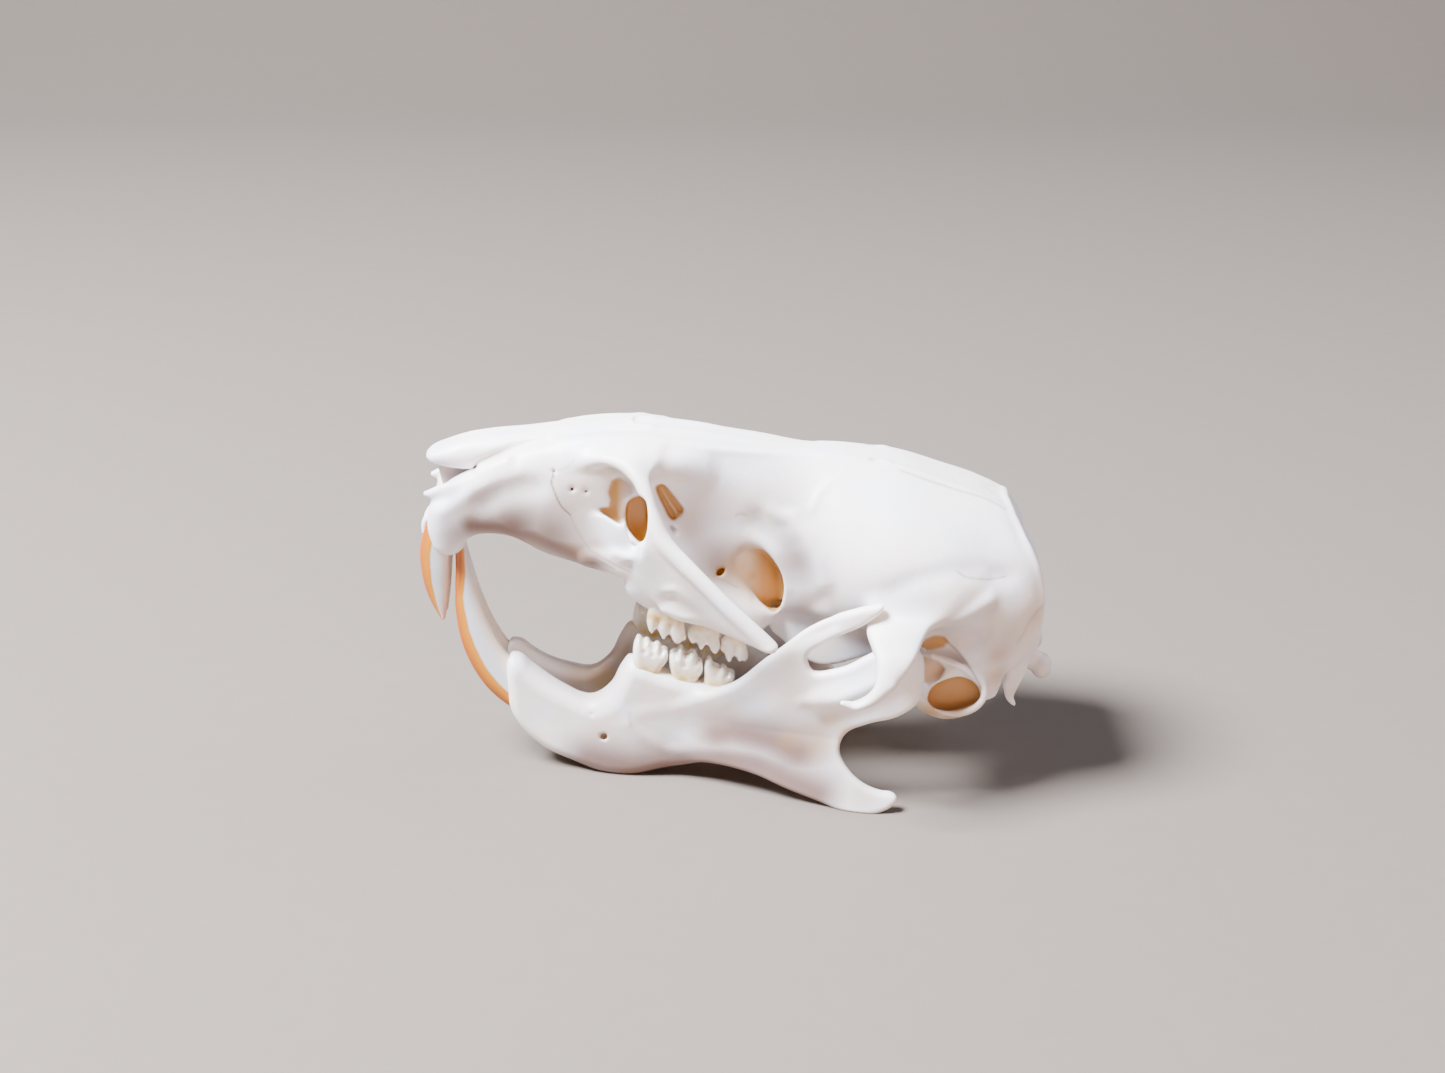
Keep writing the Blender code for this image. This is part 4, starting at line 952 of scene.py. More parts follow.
height = mottle
for source, factor in ((pores, PORE_SHARE), (seam_and_shade_mark, SEAM_DEPTH)):
    raised = node(tree, "ShaderNodeMath", {"operation": "MULTIPLY_ADD"}, _0=source, _1=factor, _2=height)
    height = raised.outputs["Value"]
relief = node(tree, "ShaderNodeBump", Strength=0.35, Distance=0.00006, Height=height)
shine = node(tree, "ShaderNodeMapRange", Value=mottle, From_Min=0.3, From_Max=0.7, To_Min=0.36, To_Max=0.5)
bone_shader = node(
    tree,
    "ShaderNodeBsdfPrincipled",
    {"subsurface_method": "RANDOM_WALK"},
    Base_Color=colour,
    Roughness=shine.outputs["Result"],
    IOR=1.55,
    Specular_IOR_Level=0.45,
    Subsurface_Weight=0.3,
    Subsurface_Radius=(1.0, 0.62, 0.4),
    Subsurface_Scale=0.0004,
    Normal=relief.outputs["Normal"],
)
node(tree, "ShaderNodeOutputMaterial", Surface=bone_shader.outputs["BSDF"])

bone_marks = {"hollow_shade": hollow_shade, "glow_and_shade": glow_and_shade, "painted_shade": painted_shade, "seam_and_shade": seam_and_shade}
cranium = made_mesh("cranium_bone", skull_points, (skull_faces,), bone_marks, bleached_bone)
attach(cranium, "root")
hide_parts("cranium")


# Upper cheek teeth: three molars on each side, rooted in the maxilla. Each crown has its cusps in pairs, two
# rows of low glossy cones with grooves between, and narrows to a yellowish neck where the roots start.
TOOTH_GRAIN = 0.05
# The outlines of the teeth in the side view, each from the front of its neck round its cusps to the back.
UPPER_TEETH = (
    (
        (-5.1, 9.6), (-5.32, 8.79), (-5.36, 8.36), (-5.29, 8.0), (-5.19, 7.72), (-5.05, 7.6), (-4.93, 7.69),
        (-4.81, 7.77), (-4.68, 7.68), (-4.55, 7.47), (-4.43, 7.27), (-4.31, 7.24), (-4.2, 7.36),
        (-4.06, 7.42), (-3.92, 7.29), (-3.79, 7.09), (-3.64, 6.96), (-3.48, 6.96), (-3.28, 7.11),
        (-3.07, 7.21), (-3.08, 7.65), (-3.13, 8.07), (-3.1, 8.5), (-3.07, 9.3), (-4.1, 9.7),
    ),
    (
        (-2.4, 9.3), (-2.42, 8.79), (-2.56, 8.36), (-2.75, 8.0), (-2.93, 7.75), (-2.97, 7.5), (-2.87, 7.21),
        (-2.72, 6.98), (-2.49, 6.93), (-2.33, 6.67), (-2.18, 6.55), (-2.05, 6.62), (-1.91, 6.78),
        (-1.76, 6.7), (-1.61, 6.51), (-1.46, 6.35), (-1.31, 6.29), (-1.18, 6.39), (-1.07, 6.57),
        (-1.01, 6.85), (-1.08, 7.29), (-1.01, 7.65), (-0.95, 8.0), (-0.98, 8.6), (-1.6, 9.3),
    ),
    (
        (-0.72, 8.6), (-0.72, 7.93), (-0.75, 7.5), (-0.95, 7.21), (-1.0, 6.85), (-1.03, 6.57), (-0.98, 6.39),
        (-0.86, 6.26), (-0.75, 6.1), (-0.64, 5.88), (-0.49, 5.76), (-0.36, 5.84), (-0.27, 6.03), (-0.14, 6.0),
        (-0.03, 5.87), (0.14, 5.79), (0.27, 5.84), (0.43, 5.79), (0.57, 5.92), (0.6, 6.21), (0.55, 6.64),
        (0.53, 7.0), (0.59, 7.57), (0.4, 8.4),
    ),
)
UPPER_GROOVES = (
    ((-4.81, 7.75), (-4.68, 8.3)), ((-4.06, 7.4), (-3.98, 8.0)), ((-2.36, 6.85), (-2.42, 7.43)),
    ((-1.76, 6.7), (-1.77, 7.36)), ((-0.86, 6.26), (-0.77, 6.85)), ((-0.14, 6.0), (-0.11, 6.71)),
)
# Half the thickness of a row of cusps, the rounding of its rims, and the fillet between two rows.
CUSP_ROW_HALF, CUSP_RIM, CUSP_SOFT = 0.4, 0.4, 0.12
# The ends of the plane that a row of cusps stands in, and a groove's width, depth and reach inwards.
ROW_FRONT, ROW_REAR = -9.0, 9.0
TOOTH_GROOVE = (0.18, -0.12, 0.6)
# How far above and below a tooth's neck its yellow fades out, and how far around its hollows are looked for.
NECK_FADE, TOOTH_REACH = 1.1, 0.3
EDGE_POINTS, MIDDLE_POINTS = 200, 80
# The heights from which and up to which a plate's edges lean.
LEAN_FROM, LEAN_FULL = 1.5, 4.0


def add_plate(clay, outline, middle, half, rim, soft, flare=None, lean=None):
    """Adds a plate of bone with this (x, height) outline, curved out along middle, with rounded rims."""
    x, out, z = [(np.arange(n) + f) * clay.grain for n, f in zip(clay.size, clay.first)]
    edge_map = outline_distance(ring_through(outline, EDGE_POINTS), x[:, None], z[None, :])
    centre = np.interp(x, *through(middle, MIDDLE_POINTS).T)
    for layer, y in enumerate(out):
        flat = y - centre[:, None] + 0 * z[None]
        if flare:
            low_part = np.clip((x[:, None] - flare[0]) / (flare[1] - flare[0]), 0, 1)
            flat = flat - flare[2] * low_part * np.maximum(0, flare[3] - z)[None]
        edge = edge_map
        if lean:
            share = np.clip((z - LEAN_FROM) / (LEAN_FULL - LEAN_FROM), 0, 1)[None]
            place = (z[None] - share * flat * np.interp(x, *zip(*lean))[:, None]) / clay.grain - clay.first[2]
            place = np.clip(place, 0, clay.size[2] - JUST_OVER_ONE)
            low = place.astype(int)
            first = np.take_along_axis(edge_map, low, axis=1)
            second = np.take_along_axis(edge_map, low + 1, axis=1)
            edge = first + (second - first) * (place - low)
        thick = np.abs(flat) - half
        field = np.hypot(np.maximum(edge + rim, 0), np.maximum(thick + rim, 0))
        field = field + np.minimum(np.maximum(edge, thick) + rim, 0) - rim
        clay.field[:, layer] = merged(clay.field[:, layer], field, soft, clay.far)


def tooth_row(teeth, grooves, outer, inner, low, high):
    """The cheek teeth of one side as clay. Outer and inner are each row of cusps' distance out and lift."""
    row = Clay(low, high, TOOTH_GRAIN)
    for outline in teeth:
        tooth = Clay(low, high, TOOTH_GRAIN)
        for out, lift in (outer, inner):
            crown = placed(outline, out)[:, [0, 2]] + (0.0, lift)
            add_plate(tooth, crown, ((ROW_FRONT, out), (ROW_REAR, out)), CUSP_ROW_HALF, CUSP_RIM, CUSP_SOFT)
        row.field = np.minimum(row.field, tooth.field)
    for line in grooves:
        row.sketch(line, outer[0] + CUSP_ROW_HALF, *TOOTH_GROOVE)
    return row


def tooth_marks(points, neck_line, out):
    """1 along a tooth's neck line, given in the side view, fading out above and below it."""
    neck = placed(neck_line, out)
    level = np.interp(points[:, 0], neck[:, 0], neck[:, 2])
    return np.clip(1 - np.abs(points[:, 2] - level) / NECK_FADE, 0, 1)


# Molar enamel: hard, glossy and slightly see-through, so the cusps are milky white with small sharp
# highlights, and the dentine of the necks shows through yellow. The brown in the hollows between cusps and
# teeth is painted shade.
ENAMEL_WHITE = linear("#F6F2E8")
DENTINE_YELLOW = linear("#DDBF73")
# Painted shade for the teeth's hollows.
TOOTH_HOLLOW_SHADE = linear("#A9823F")

molar_enamel, tree = new_material("molar_enamel_worn")
place = node(tree, "ShaderNodeTexCoord").outputs["Object"]
root_mark, hollow_shade_mark = (
    node(tree, "ShaderNodeAttribute", {"attribute_name": mark}).outputs["Fac"] for mark in ("root", "hollow_shade")
)
streaks = node(tree, "ShaderNodeTexNoise", Vector=place, Scale=per_metre(0.5), Detail=3.0).outputs["Fac"]
streaky = node(tree, "ShaderNodeMath", {"operation": "MULTIPLY"}, _0=root_mark, _1=streaks).outputs["Value"]
colour = ENAMEL_WHITE
for source, start, full, strength, tint in (
    (streaky, 0.15, 0.55, 1.0, DENTINE_YELLOW),
    (hollow_shade_mark, 0.55, 0.8, 0.6, TOOTH_HOLLOW_SHADE),
):
    share = node(tree, "ShaderNodeMapRange", Value=source, From_Min=start, From_Max=full, To_Max=strength)
    mixed = node(tree, "ShaderNodeMix", MIX_COLOURS, _0=share.outputs["Result"], _6=colour, _7=tint)
    colour = mixed.outputs[2]
relief = node(tree, "ShaderNodeBump", Strength=0.15, Distance=0.00004, Height=streaks)
molar_shader = node(
    tree,
    "ShaderNodeBsdfPrincipled",
    {"subsurface_method": "RANDOM_WALK"},
    Base_Color=colour,
    Roughness=0.16,
    IOR=1.62,
    Subsurface_Weight=0.4,
    Subsurface_Radius=(1.0, 0.8, 0.6),
    Subsurface_Scale=0.0004,
    Normal=relief.outputs["Normal"],
)
node(tree, "ShaderNodeOutputMaterial", Surface=molar_shader.outputs["BSDF"])

UPPER_NECK = ((-5.4, 8.75), (-3.0, 8.55), (-0.9, 8.0), (0.7, 7.1))
upper_row = tooth_row(
    UPPER_TEETH,
    UPPER_GROOVES,
    outer=(3.15, 0.0),
    inner=(2.4, 0.1),
    low=(-5.8, 1.7, 6.6),
    high=(1.1, 3.8, 11.2),
)
tooth_points, tooth_faces = surface(upper_row, False)
# Painted shade in the hollows between the upper cusps and teeth.
tooth_hollow_shade = hollows(upper_row, tooth_points, TOOTH_REACH)
up_marks = {"root": tooth_marks(tooth_points, UPPER_NECK, out=3.2), "hollow_shade": tooth_hollow_shade}
for side, name in ((-1, "left"), (1, "right")):
    teeth = made_mesh(f"upper_cheek_teeth_{name}", tooth_points, (tooth_faces,), up_marks, molar_enamel, side)
    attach(teeth, "root")
    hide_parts("cranium")


# Upper incisors: two ever-growing teeth, curved and chisel-tipped, set side by side in the premaxillae. Only
# the front face has hard orange enamel. The sides and the back are bare dentine, which wears faster.
UPPER_INCISOR = (
    (-15.9, 1.0, 16.4, 0.8, 0.5),
    (-16.8, 0.85, 15.0, 0.9, 0.55),
    (-17.45, 0.75, 13.4, 0.88, 0.55),
    (-17.52, 0.72, 12.0, 0.82, 0.55),
    (-17.47, 0.7, 10.8, 0.66, 0.5),
    (-17.35, 0.68, 9.8, 0.42, 0.45),
    (-17.2, 0.66, 8.9, 0.12, 0.4),
)
INCISOR_RINGS, INCISOR_AROUND = 160, 72
# Below 1 these flatten the tooth's front and sides.
FRONT_POWER, SIDE_POWER = 0.8, 0.7
# How far round towards the back the enamel comes at the tip.
ENAMEL_AT_TIP = 1.3


def incisor(stations, tip_from):
    """A swept flat-sided tooth: points, faces, and marks for length and for enamel, wider past tip_from."""
    path = through(stations, INCISOR_RINGS)
    _, across, depthwise = path_axes(path)
    depthwise *= -np.sign(depthwise[:, :1])
    turns = np.linspace(0, 2 * math.pi, INCISOR_AROUND, endpoint=False)
    deep = np.sign(np.cos(turns)) * np.abs(np.cos(turns)) ** FRONT_POWER
    wide = np.sign(np.sin(turns)) * np.abs(np.sin(turns)) ** SIDE_POWER
    rings = path[:, None, :3] + depthwise[:, None] * (path[:, 3:4] * deep)[:, :, None]
    rings = rings + across[:, None] * (path[:, 4:5] * wide)[:, :, None]
    along = np.repeat(np.linspace(0, 1, INCISOR_RINGS), INCISOR_AROUND)
    near_tip = np.clip((along - tip_from) / (JUST_OVER_ONE - tip_from), 0, 1)
    front = np.tile(deep, INCISOR_RINGS) + ENAMEL_AT_TIP * near_tip
    points, sides, ends = skin(rings)
    marks = {"front": np.concatenate([front, [0.0, 0.0]]), "along": np.concatenate([along, [0.0, 1.0]])}
    return points.astype(float), (sides, ends), marks


def incisor_piece(name, made, side, ahead, material, cad_node):
    """One incisor from its points, faces and marks, standing for its CAD part."""
    piece = made_mesh(name, *made, material, side, ahead)
    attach(piece, "root")
    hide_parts(cad_node)


# Incisor enamel and dentine: iron in the enamel makes the front deep orange and glossy, lighter where it
# thins out at its edge. The dentine beside it is less glossy and bluish white, and warmer along the back.
ENAMEL_ORANGE = linear("#AE5800")
ENAMEL_AMBER = linear("#D28C00")
DENTINE_BLUE = linear("#D9DFE8")
DENTINE_CREAM = linear("#E8DDD0")
TIP_ROSE = linear("#E6B7A4")
EDGE_WAVE = 0.12

incisor_enamel, tree = new_material("incisor_enamel_and_dentine")
place = node(tree, "ShaderNodeTexCoord").outputs["Object"]
front_mark, along_mark = (
    node(tree, "ShaderNodeAttribute", {"attribute_name": mark}).outputs["Fac"] for mark in ("front", "along")
)
lines = node(tree, "ShaderNodeTexNoise", Vector=place, Scale=per_metre(0.6), Detail=3.0).outputs["Fac"]
wave = node(tree, "ShaderNodeMath", {"operation": "MULTIPLY_ADD"}, _0=lines, _1=EDGE_WAVE, _2=front_mark)
wavy = wave.outputs["Value"]
# How far the enamel, its richer middle, the cream of the tooth's back and the rose of its tip have set in.
enamel_share, rich_share, back_share, tip_share = (
    node(
        tree, "ShaderNodeMapRange", Value=source, From_Min=start, From_Max=full, To_Max=strength
    ).outputs["Result"]
    for source, start, full, strength in (
        (wavy, 0.24, 0.36, 1.0),
        (wavy, 0.5, 0.9, 1.0),
        (front_mark, -0.3, -0.8, 1.0),
        (along_mark, 0.8, 1.0, 0.6),
    )
)
orange = node(tree, "ShaderNodeMix", MIX_COLOURS, _0=rich_share, _6=ENAMEL_AMBER, _7=ENAMEL_ORANGE)
dentine = node(tree, "ShaderNodeMix", MIX_COLOURS, _0=back_share, _6=DENTINE_BLUE, _7=DENTINE_CREAM)
dentine = node(tree, "ShaderNodeMix", MIX_COLOURS, _0=tip_share, _6=dentine.outputs[2], _7=TIP_ROSE)
colour = node(
    tree, "ShaderNodeMix", MIX_COLOURS, _0=enamel_share, _6=dentine.outputs[2], _7=orange.outputs[2]
).outputs[2]
gloss = node(tree, "ShaderNodeMapRange", Value=enamel_share, To_Min=0.3, To_Max=0.16).outputs["Result"]
relief = node(tree, "ShaderNodeBump", Strength=0.12, Distance=0.00004, Height=lines)
incisor_shader = node(
    tree,
    "ShaderNodeBsdfPrincipled",
    {"subsurface_method": "RANDOM_WALK"},
    Base_Color=colour,
    Roughness=gloss,
    IOR=1.62,
    Subsurface_Weight=0.35,
    Subsurface_Radius=(1.0, 0.7, 0.45),
    Subsurface_Scale=0.0005,
    Normal=relief.outputs["Normal"],
)
node(tree, "ShaderNodeOutputMaterial", Surface=incisor_shader.outputs["BSDF"])

upper_incisor = incisor(UPPER_INCISOR, 1.0)
incisor_piece("upper_incisor_tooth_left", upper_incisor, -1, 0.0, incisor_enamel, "upper_incisor_left")
incisor_piece("upper_incisor_tooth_right", upper_incisor, 1, 0.0, incisor_enamel, "upper_incisor_right")


# Lower jaw: two separate halves, each a thick front body that carries the incisor's root and the cheek teeth,
# and a thin rear blade with the tall coronoid process, the condyle of the jaw joint and the angle below.
JAW_GRAIN = 0.08
JAW_BODY = (
    (-13.55, 6.2), (-13.3, 6.75), (-12.75, 6.7), (-12.1, 6.15), (-11.3, 5.55), (-10.1, 4.9), (-8.5, 4.5),
    (-7.5, 5.2), (-6.8, 6.5), (-6.3, 7.2), (-5.3, 6.95), (-4.4, 6.55), (-3.7, 6.35), (-2.4, 5.95),
    (-1.4, 5.75), (-0.2, 5.6), (1.4, 5.3), (2.2, 4.0), (1.0, 1.6), (-2.2, 0.95), (-4.6, 0.3), (-6.2, -0.1),
    (-7.8, -0.1), (-9.9, 0.45), (-11.4, 1.0), (-12.6, 2.0), (-13.4, 3.4), (-13.6, 5.2),
)
JAW_BLADE = (
    (-6.6, 3.5), (-4.6, 4.4), (-2.4, 5.4), (-0.2, 6.6), (1.7, 8.6), (3.4, 10.25), (5.9, 11.75),
    (7.2, 12.25), (8.1, 12.35), (7.9, 11.95), (7.2, 11.3), (5.0, 9.85), (3.9, 8.8), (4.1, 8.0), (5.7, 8.3),
    (7.4, 9.4), (8.8, 10.1), (10.0, 9.6), (10.4, 8.0), (10.1, 6.5), (9.0, 5.6), (7.4, 5.1), (6.1, 4.3),
    (5.75, 3.3), (6.3, 2.2), (7.2, 1.5), (8.1, 1.2), (8.8, 1.1), (9.05, 0.8), (8.8, 0.45), (8.0, 0.0),
    (7.0, -0.2), (6.0, -0.15), (4.7, 0.2), (3.0, 0.65), (1.0, 1.2), (-1.0, 1.35), (-2.2, 1.25),
    (-3.4, 0.95), (-4.6, 0.8), (-5.8, 1.3), (-6.5, 2.3),
)
JAW_BODY_OUT = (
    (-13.6, 1.15), (-12.0, 1.35), (-10.0, 1.85), (-8.5, 2.3), (-7.0, 2.6), (-3.0, 2.9), (2.5, 3.9),
)
JAW_BLADE_OUT = (
    (-6.8, 2.0), (-4.6, 2.75), (-3.4, 3.3), (-2.2, 3.85), (-0.2, 4.6), (1.7, 5.2), (3.0, 5.6), (5.0, 6.15),
    (7.0, 6.75), (8.0, 6.9), (9.0, 6.95), (10.5, 7.0),
)
# Each plate's half thickness and the rounding of its rims, and the fillet between the two.
JAW_BODY_HALF, JAW_BODY_RIM = 0.95, 0.75
JAW_BLADE_HALF, JAW_BLADE_RIM = 0.36, 0.33
JAW_SOFT = 0.6
# How steeply the body's upper edge leans: (x, rise per mm outwards), from one height up to another.
JAW_BODY_LEAN = (
    (-13.6, -0.1), (-11.5, -0.2), (-9.5, -0.1), (-8.0, -0.3), (-6.8, -0.5), (-5.5, 0.0), (2.5, 0.0),
)
# The blade's lower part flares out: from one place along it, in full at the next, per mm, below this height.
JAW_FLARE = (-4.0, 2.0, 0.26, 4.0)
CONDYLE_NECK = ((4.8, 6.2, 6.0, 0.8, 0.5), (7.4, 6.8, 7.3, 0.9, 0.55), (9.3, 7.0, 9.2, 0.85, 0.62))
MUSCLE_RIDGE = (
    (-6.4, 2.15), (-5.24, 2.44), (-3.64, 2.78), (-1.85, 3.44), (-0.45, 4.32), (1.2, 6.0), (3.6, 8.4),
)
LOWER_RIDGE = ((-6.45, 1.6), (-5.66, 0.78), (-4.47, 0.05), (-3.26, -0.3))
REAR_RIDGE = ((3.9, 3.1), (6.0, 3.2), (8.1, 4.2))
# The outlines of the lower cheek teeth in the side view, each from the front of its neck to the back.
LOWER_TEETH = (
    (
        (-5.61, 4.54), (-6.0, 5.05), (-6.17, 5.7), (-6.2, 6.28), (-6.17, 6.78), (-6.07, 7.21),
        (-5.87, 7.52), (-5.7, 7.44), (-5.56, 7.24), (-5.39, 7.32), (-5.23, 7.25), (-5.12, 7.03),
        (-4.99, 6.96), (-4.85, 7.06), (-4.69, 7.06), (-4.58, 6.96), (-4.48, 6.77), (-4.32, 6.75),
        (-4.16, 6.64), (-4.12, 6.39), (-4.17, 6.06), (-4.33, 5.79), (-4.5, 5.59), (-4.57, 5.34),
        (-4.63, 4.97), (-4.75, 4.39),
    ),
    (
        (-3.76, 3.95), (-3.9, 4.75), (-3.98, 5.34), (-4.05, 5.77), (-4.06, 6.17), (-4.0, 6.46),
        (-3.84, 6.57), (-3.64, 6.58), (-3.51, 6.78), (-3.36, 6.85), (-3.25, 6.75), (-3.18, 6.53),
        (-3.07, 6.38), (-2.95, 6.41), (-2.86, 6.52), (-2.68, 6.58), (-2.53, 6.49), (-2.43, 6.28),
        (-2.31, 6.05), (-2.12, 5.9), (-2.06, 5.61), (-2.12, 5.26), (-2.27, 5.01), (-2.41, 4.75),
        (-2.44, 4.24), (-2.71, 3.8),
    ),
    (
        (-2.25, 3.66), (-2.12, 4.46), (-2.0, 4.94), (-1.98, 5.41), (-1.95, 5.79), (-1.84, 6.03), (-1.71, 6.1),
        (-1.57, 6.03), (-1.5, 5.81), (-1.36, 5.68), (-1.18, 5.61), (-1.05, 5.48), (-0.95, 5.57), (-0.8, 5.59),
        (-0.69, 5.48), (-0.6, 5.32), (-0.44, 5.28), (-0.28, 5.21), (-0.18, 5.05), (-0.2, 4.83), (-0.32, 4.57),
        (-0.52, 4.24), (-1.05, 3.73),
    ),
)
LOWER_GROOVES = (
    ((-5.56, 7.2), (-5.48, 6.4)), ((-4.99, 6.9), (-5.0, 6.2)),
    ((-4.46, 6.7), (-4.5, 6.2)), ((-3.07, 6.38), (-3.12, 5.5)), ((-3.68, 6.57), (-3.66, 6.0)),
    ((-2.36, 6.1), (-2.4, 5.6)), ((-1.18, 5.61), (-1.22, 4.9)), ((-0.59, 5.32), (-0.66, 4.75)),
)
LOWER_INCISOR = (
    (-11.8, 1.15, 3.5, 1.1, 0.52),
    (-13.9, 1.1, 5.35, 1.12, 0.52),
    (-15.1, 1.0, 7.5, 1.02, 0.52),
    (-15.65, 0.9, 9.65, 0.8, 0.5),
    (-15.85, 0.82, 11.6, 0.5, 0.5),
    (-15.98, 0.76, 13.1, 0.3, 0.45),
    (-16.0, 0.74, 14.0, 0.14, 0.4),
)
# The socket is this much wider than the incisor in it.
SOCKET_GAP, SOCKET_SOFT = 0.02, 0.05
# The share of its length from which the lower incisor's enamel widens towards the tip.
ENAMEL_WIDENS = 0.7
# The halves are loose at the chin, and the right one lies this far further forward.
RIGHT_JAW_AHEAD = 0.2

jaw = Clay((-14.0, 0.1, -0.3), (10.9, 8.7, 12.8), JAW_GRAIN)
add_plate(jaw, JAW_BODY, JAW_BODY_OUT, JAW_BODY_HALF, JAW_BODY_RIM, CRISP, lean=JAW_BODY_LEAN)
add_plate(jaw, JAW_BLADE, JAW_BLADE_OUT, JAW_BLADE_HALF, JAW_BLADE_RIM, JAW_SOFT, flare=JAW_FLARE)
jaw.add(limb(CONDYLE_NECK), JAW_SOFT)
# The ridges and hollows of the chewing muscle's seat, the incisor's socket, and the holes of two nerves.
jaw.sketch(MUSCLE_RIDGE, 4.2, 0.5, 0.04, 2.2)
jaw.sketch(LOWER_RIDGE, 3.9, 0.4, 0.06, 1.8)
jaw.sketch(REAR_RIDGE, 6.8, 0.4, 0.12, 1.8)
jaw.sketch([(-2.8, 1.5), (-1.0, 2.1), (1.4, 3.4)], 4.6, 0.9, -0.12, 2.4)
jaw.sketch([(-0.4, 5.0), (1.4, 6.2), (3.6, 7.3), (5.6, 8.2)], 5.4, 0.45, -0.16, 2.0)
jaw.sketch([(-3.6, -0.2), (-1.6, -0.1), (0.6, -0.3), (2.6, -0.9)], 4.6, 0.5, 0.08, 2.4)
jaw.carve(limb(LOWER_INCISOR, SOCKET_GAP), SOCKET_SOFT)
jaw.drill((-8.03, 0.8), 3.3, 0.22, 0.3)
jaw.drill((-8.73, 2.27), 3.2, 0.09, 0.15)
floor_level = (np.arange(jaw.size[2]) + jaw.first[2]) * JAW_GRAIN
jaw.softened()
jaw.field = np.maximum(jaw.field, -floor_level[None, None, :].astype(np.float32))
jaw_points, jaw_faces = surface(jaw, False)
# Painted shade in the jaw's hollows, as on the cranium.
jaw_hollow_shade = bone_hollows(jaw, jaw_points)
# Soft round marks as on the cranium: amber where the body is thin, painted glow of light through it, and on
# its inner side and in the nerve's hole, painted shade; rose painted shade on the blade and under the teeth.
jaw_glow_and_shade_marks = (
    (-9.4, 0.9, 3.6, 1.5, 0.45), (-7.8, 1.2, 3.8, 1.6, 0.7), (-6.9, 1.5, 5.6, 1.3, 0.4),
    (-6.6, 1.8, 7.2, 1.0, 0.2), (4.6, 6.6, 3.6, 0.9, 0.4), (6.2, 6.9, 4.6, 0.8, 0.4),
    (-7.8, 2.9, 2.45, 0.3, 0.6),
)
jaw_painted_shade_marks = (
    (-1.0, 4.7, 3.0, 3.0, 0.6), (1.6, 5.8, 2.4, 3.0, 0.6), (4.4, 6.8, 1.4, 2.0, 0.5),
    (-9.0, 1.4, 6.0, 3.0, 0.5), (3.0, 5.8, 8.6, 1.2, 0.6), (7.0, 7.2, 0.8, 1.4, 0.5),
)
# Longer bands: painted shade along the lower border and on the muscle's seat, ochre on the angle, and a dark
# spot where the muscle's ridge starts.
lower_border = [(-9.0, -0.7), (-6.4, -1.4), (-3.5, -1.1), (-1.0, -0.9), (1.1, -1.3), (3.0, -2.2), (4.8, -3.1)]
muscle_seat = [(-1.2, 1.0), (-0.3, 1.2), (2.0, 0.5), (3.6, -0.3)]
ochre_band = [(3.2, 0.7), (4.6, 1.3), (6.1, 2.0), (7.0, 2.4)]
ridge_end = [(-6.44, 2.33), (-6.48, 1.89), (-6.35, 1.44)]
# Painted shade on the blade, along the lower border and on the muscle's seat.
jaw_painted_shade = np.maximum.reduce([
    spots(jaw_points, jaw_painted_shade_marks),
    hairline(jaw_points, lower_border, out=5.0, wide=1.9, strength=1.0, depth=3.6),
    hairline(jaw_points, muscle_seat, out=5.0, wide=2.0, strength=1.0, depth=3.0),
])
# Painted shade and glow in amber on the jaw, and ochre on the angle.
jaw_glow_and_shade = np.maximum(
    spots(jaw_points, jaw_glow_and_shade_marks),
    hairline(jaw_points, ochre_band, out=6.8, wide=0.7, strength=0.3, depth=3.0),
)
jaw_seam = hairline(jaw_points, ridge_end, out=3.6, wide=0.1, strength=0.3)

LOWER_NECK = ((-6.2, 5.5), (-4.4, 5.1), (-2.3, 4.6), (-0.4, 4.15))
lower_row = tooth_row(
    LOWER_TEETH,
    LOWER_GROOVES,
    outer=(3.05, -0.22),
    inner=(2.35, 0.0),
    low=(-6.6, 1.7, 4.6),
    high=(0.3, 3.7, 9.4),
)
low_points, low_faces = surface(lower_row, False)
# Painted shade in the hollows between the lower cusps and teeth.
low_hollow_shade = hollows(lower_row, low_points, TOOTH_REACH)
lower_incisor = incisor(LOWER_INCISOR, ENAMEL_WIDENS)
jaw_marks = {"hollow_shade": jaw_hollow_shade, "glow_and_shade": jaw_glow_and_shade, "painted_shade": jaw_painted_shade, "seam_and_shade": jaw_seam}
low_marks = {"root": tooth_marks(low_points, LOWER_NECK, out=3.0), "hollow_shade": low_hollow_shade}
for side, name, ahead in ((-1, "left", 0.0), (1, "right", RIGHT_JAW_AHEAD)):
    half_jaw = made_mesh(
        f"jaw_bone_{name}", jaw_points, (jaw_faces,), jaw_marks, bleached_bone, side, ahead
    )
    teeth = made_mesh(
        f"lower_cheek_teeth_{name}", low_points, (low_faces,), low_marks, molar_enamel, side, ahead
    )
    for piece in (half_jaw, teeth):
        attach(piece, "root")
        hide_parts(f"mandible_{name}")
    incisor_piece(
        f"lower_incisor_tooth_{name}", lower_incisor, side, ahead, incisor_enamel, f"lower_incisor_{name}"
    )


# Stage: a plain matt paper sweep that curves up behind the skull, three soft round lamps, and a camera at the
# photograph's viewing angle. None of it belongs to the skull.
SWEEP_HALF_WIDTH = 0.6
FLOOR_FRONT, FLOOR_BACK, SWEEP_RADIUS, WALL_TOP = -0.45, 0.2, 0.14, 0.5
SWEEP_STEPS = 24

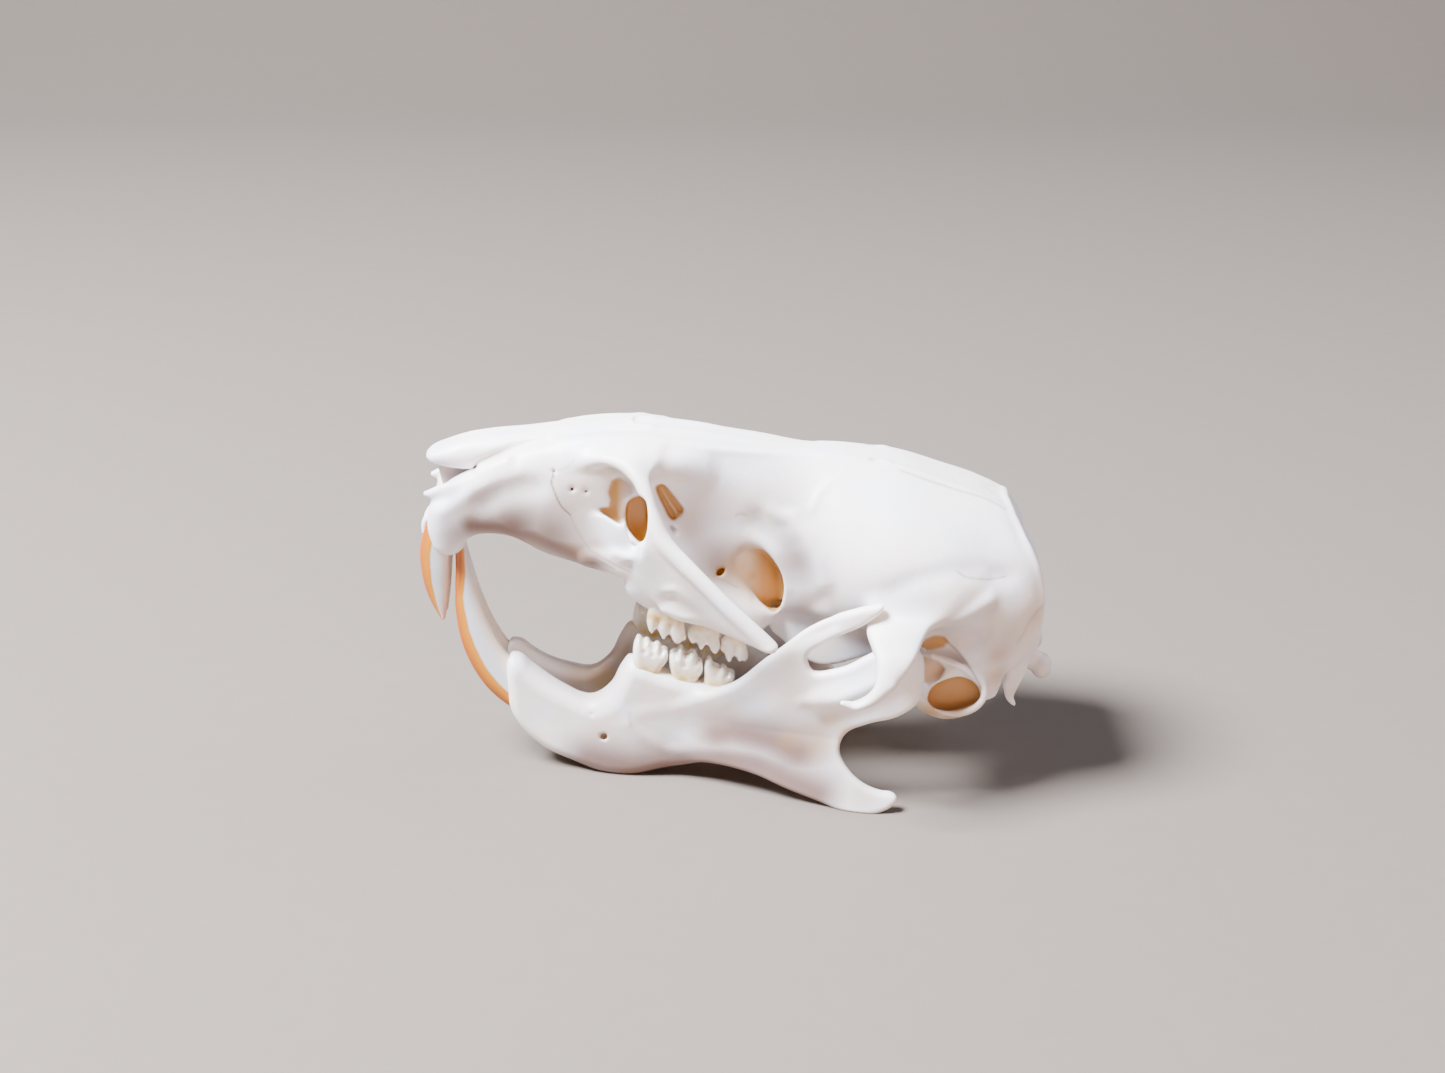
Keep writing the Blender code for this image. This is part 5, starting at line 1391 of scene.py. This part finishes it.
sweep_line = [(FLOOR_FRONT, 0.0)]
for turn in np.linspace(0, math.pi / 2, SWEEP_STEPS):
    sweep_line.append((FLOOR_BACK + SWEEP_RADIUS * math.sin(turn), SWEEP_RADIUS * (1 - math.cos(turn))))
sweep_line.append((FLOOR_BACK + SWEEP_RADIUS, WALL_TOP))
sweep_points = [(x, y, z) for y, z in sweep_line for x in (-SWEEP_HALF_WIDTH, SWEEP_HALF_WIDTH)]
sweep_faces = [(2 * k, 2 * k + 1, 2 * k + 3, 2 * k + 2) for k in range(len(sweep_line) - 1)]
sweep_mesh = bpy.data.meshes.new("studio_sweep")
sweep_mesh.from_pydata(sweep_points, [], sweep_faces)
sweep_mesh.shade_smooth()

# Matt background paper: an uncoated warm mid-grey sheet with a faint fibre. It has no shine, and under the
# strong lamp it looks pale and even, so that the eye stays on the bone.
PAPER_DARK = linear("#685F56")
PAPER_LIGHT = linear("#6C635A")
paper, tree = new_material("matt_background_paper")
place = node(tree, "ShaderNodeTexCoord").outputs["Object"]
fibres = node(tree, "ShaderNodeTexNoise", Vector=place, Scale=per_metre(1.5), Detail=4.0).outputs["Fac"]
colour = node(tree, "ShaderNodeMix", MIX_COLOURS, _0=fibres, _6=PAPER_DARK, _7=PAPER_LIGHT).outputs[2]
relief = node(tree, "ShaderNodeBump", Strength=0.1, Distance=0.00005, Height=fibres)
paper_shader = node(
    tree, "ShaderNodeBsdfPrincipled", Base_Color=colour, Roughness=0.85, Normal=relief.outputs["Normal"]
)
node(tree, "ShaderNodeOutputMaterial", Surface=paper_shader.outputs["BSDF"])
sweep_mesh.materials.append(paper)
sweep = bpy.data.objects.new("studio_sweep", sweep_mesh)
bpy.context.scene.collection.objects.link(sweep)
sweep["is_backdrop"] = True

LAMP_TARGET = (0.0, 0.0, 0.01)


def lamp(name, place, size, watts, colour):
    """A round soft lamp of this size in metres, aimed at the skull."""
    light = bpy.data.lights.new(name, "AREA")
    light.shape = "DISK"
    light.size = size
    light.energy = watts
    light.color = linear(colour)[:3]
    holder = bpy.data.objects.new(name, light)
    bpy.context.scene.collection.objects.link(holder)
    holder.location = place
    aim = np.array(LAMP_TARGET) - np.array(place)
    holder.rotation_euler = (
        math.atan2(math.hypot(aim[0], aim[1]), -aim[2]),
        0.0,
        math.atan2(aim[1], aim[0]) - math.pi / 2,
    )


lamp("window_lamp", (-0.165, -0.045, 0.27), 0.14, 9.5, "#F1F4FF")
lamp("warm_lamp", (0.1, -0.33, 0.04), 0.3, 1.0, "#FFC8AC")
lamp("rim_lamp", (0.2, 0.06, 0.2), 0.18, 0.6, "#DCE8FF")
world = bpy.data.worlds.new("studio_air")
world.use_nodes = True
world.node_tree.nodes["Background"].inputs["Color"].default_value = linear("#E9EBEE")
world.node_tree.nodes["Background"].inputs["Strength"].default_value = 0.08
bpy.context.scene.world = world

CAMERA_PLACE = (-0.0009, -0.117, 0.0598)
CAMERA_DOWN = 21.5
PHOTO_WIDTH_PX = 1445
FOCAL_PX = 2170
SENSOR_MM = 36.0
camera_data = bpy.data.cameras.new("photo_camera")
camera_data.sensor_width = SENSOR_MM
camera_data.sensor_fit = "HORIZONTAL"
camera_data.lens = SENSOR_MM * FOCAL_PX / PHOTO_WIDTH_PX
camera_data.clip_start = 0.005
camera = bpy.data.objects.new("photo_camera", camera_data)
camera.location = CAMERA_PLACE
camera.rotation_euler = (math.radians(90 - CAMERA_DOWN), 0.0, 0.0)
bpy.context.scene.collection.objects.link(camera)
bpy.context.scene.camera = camera

low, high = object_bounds()
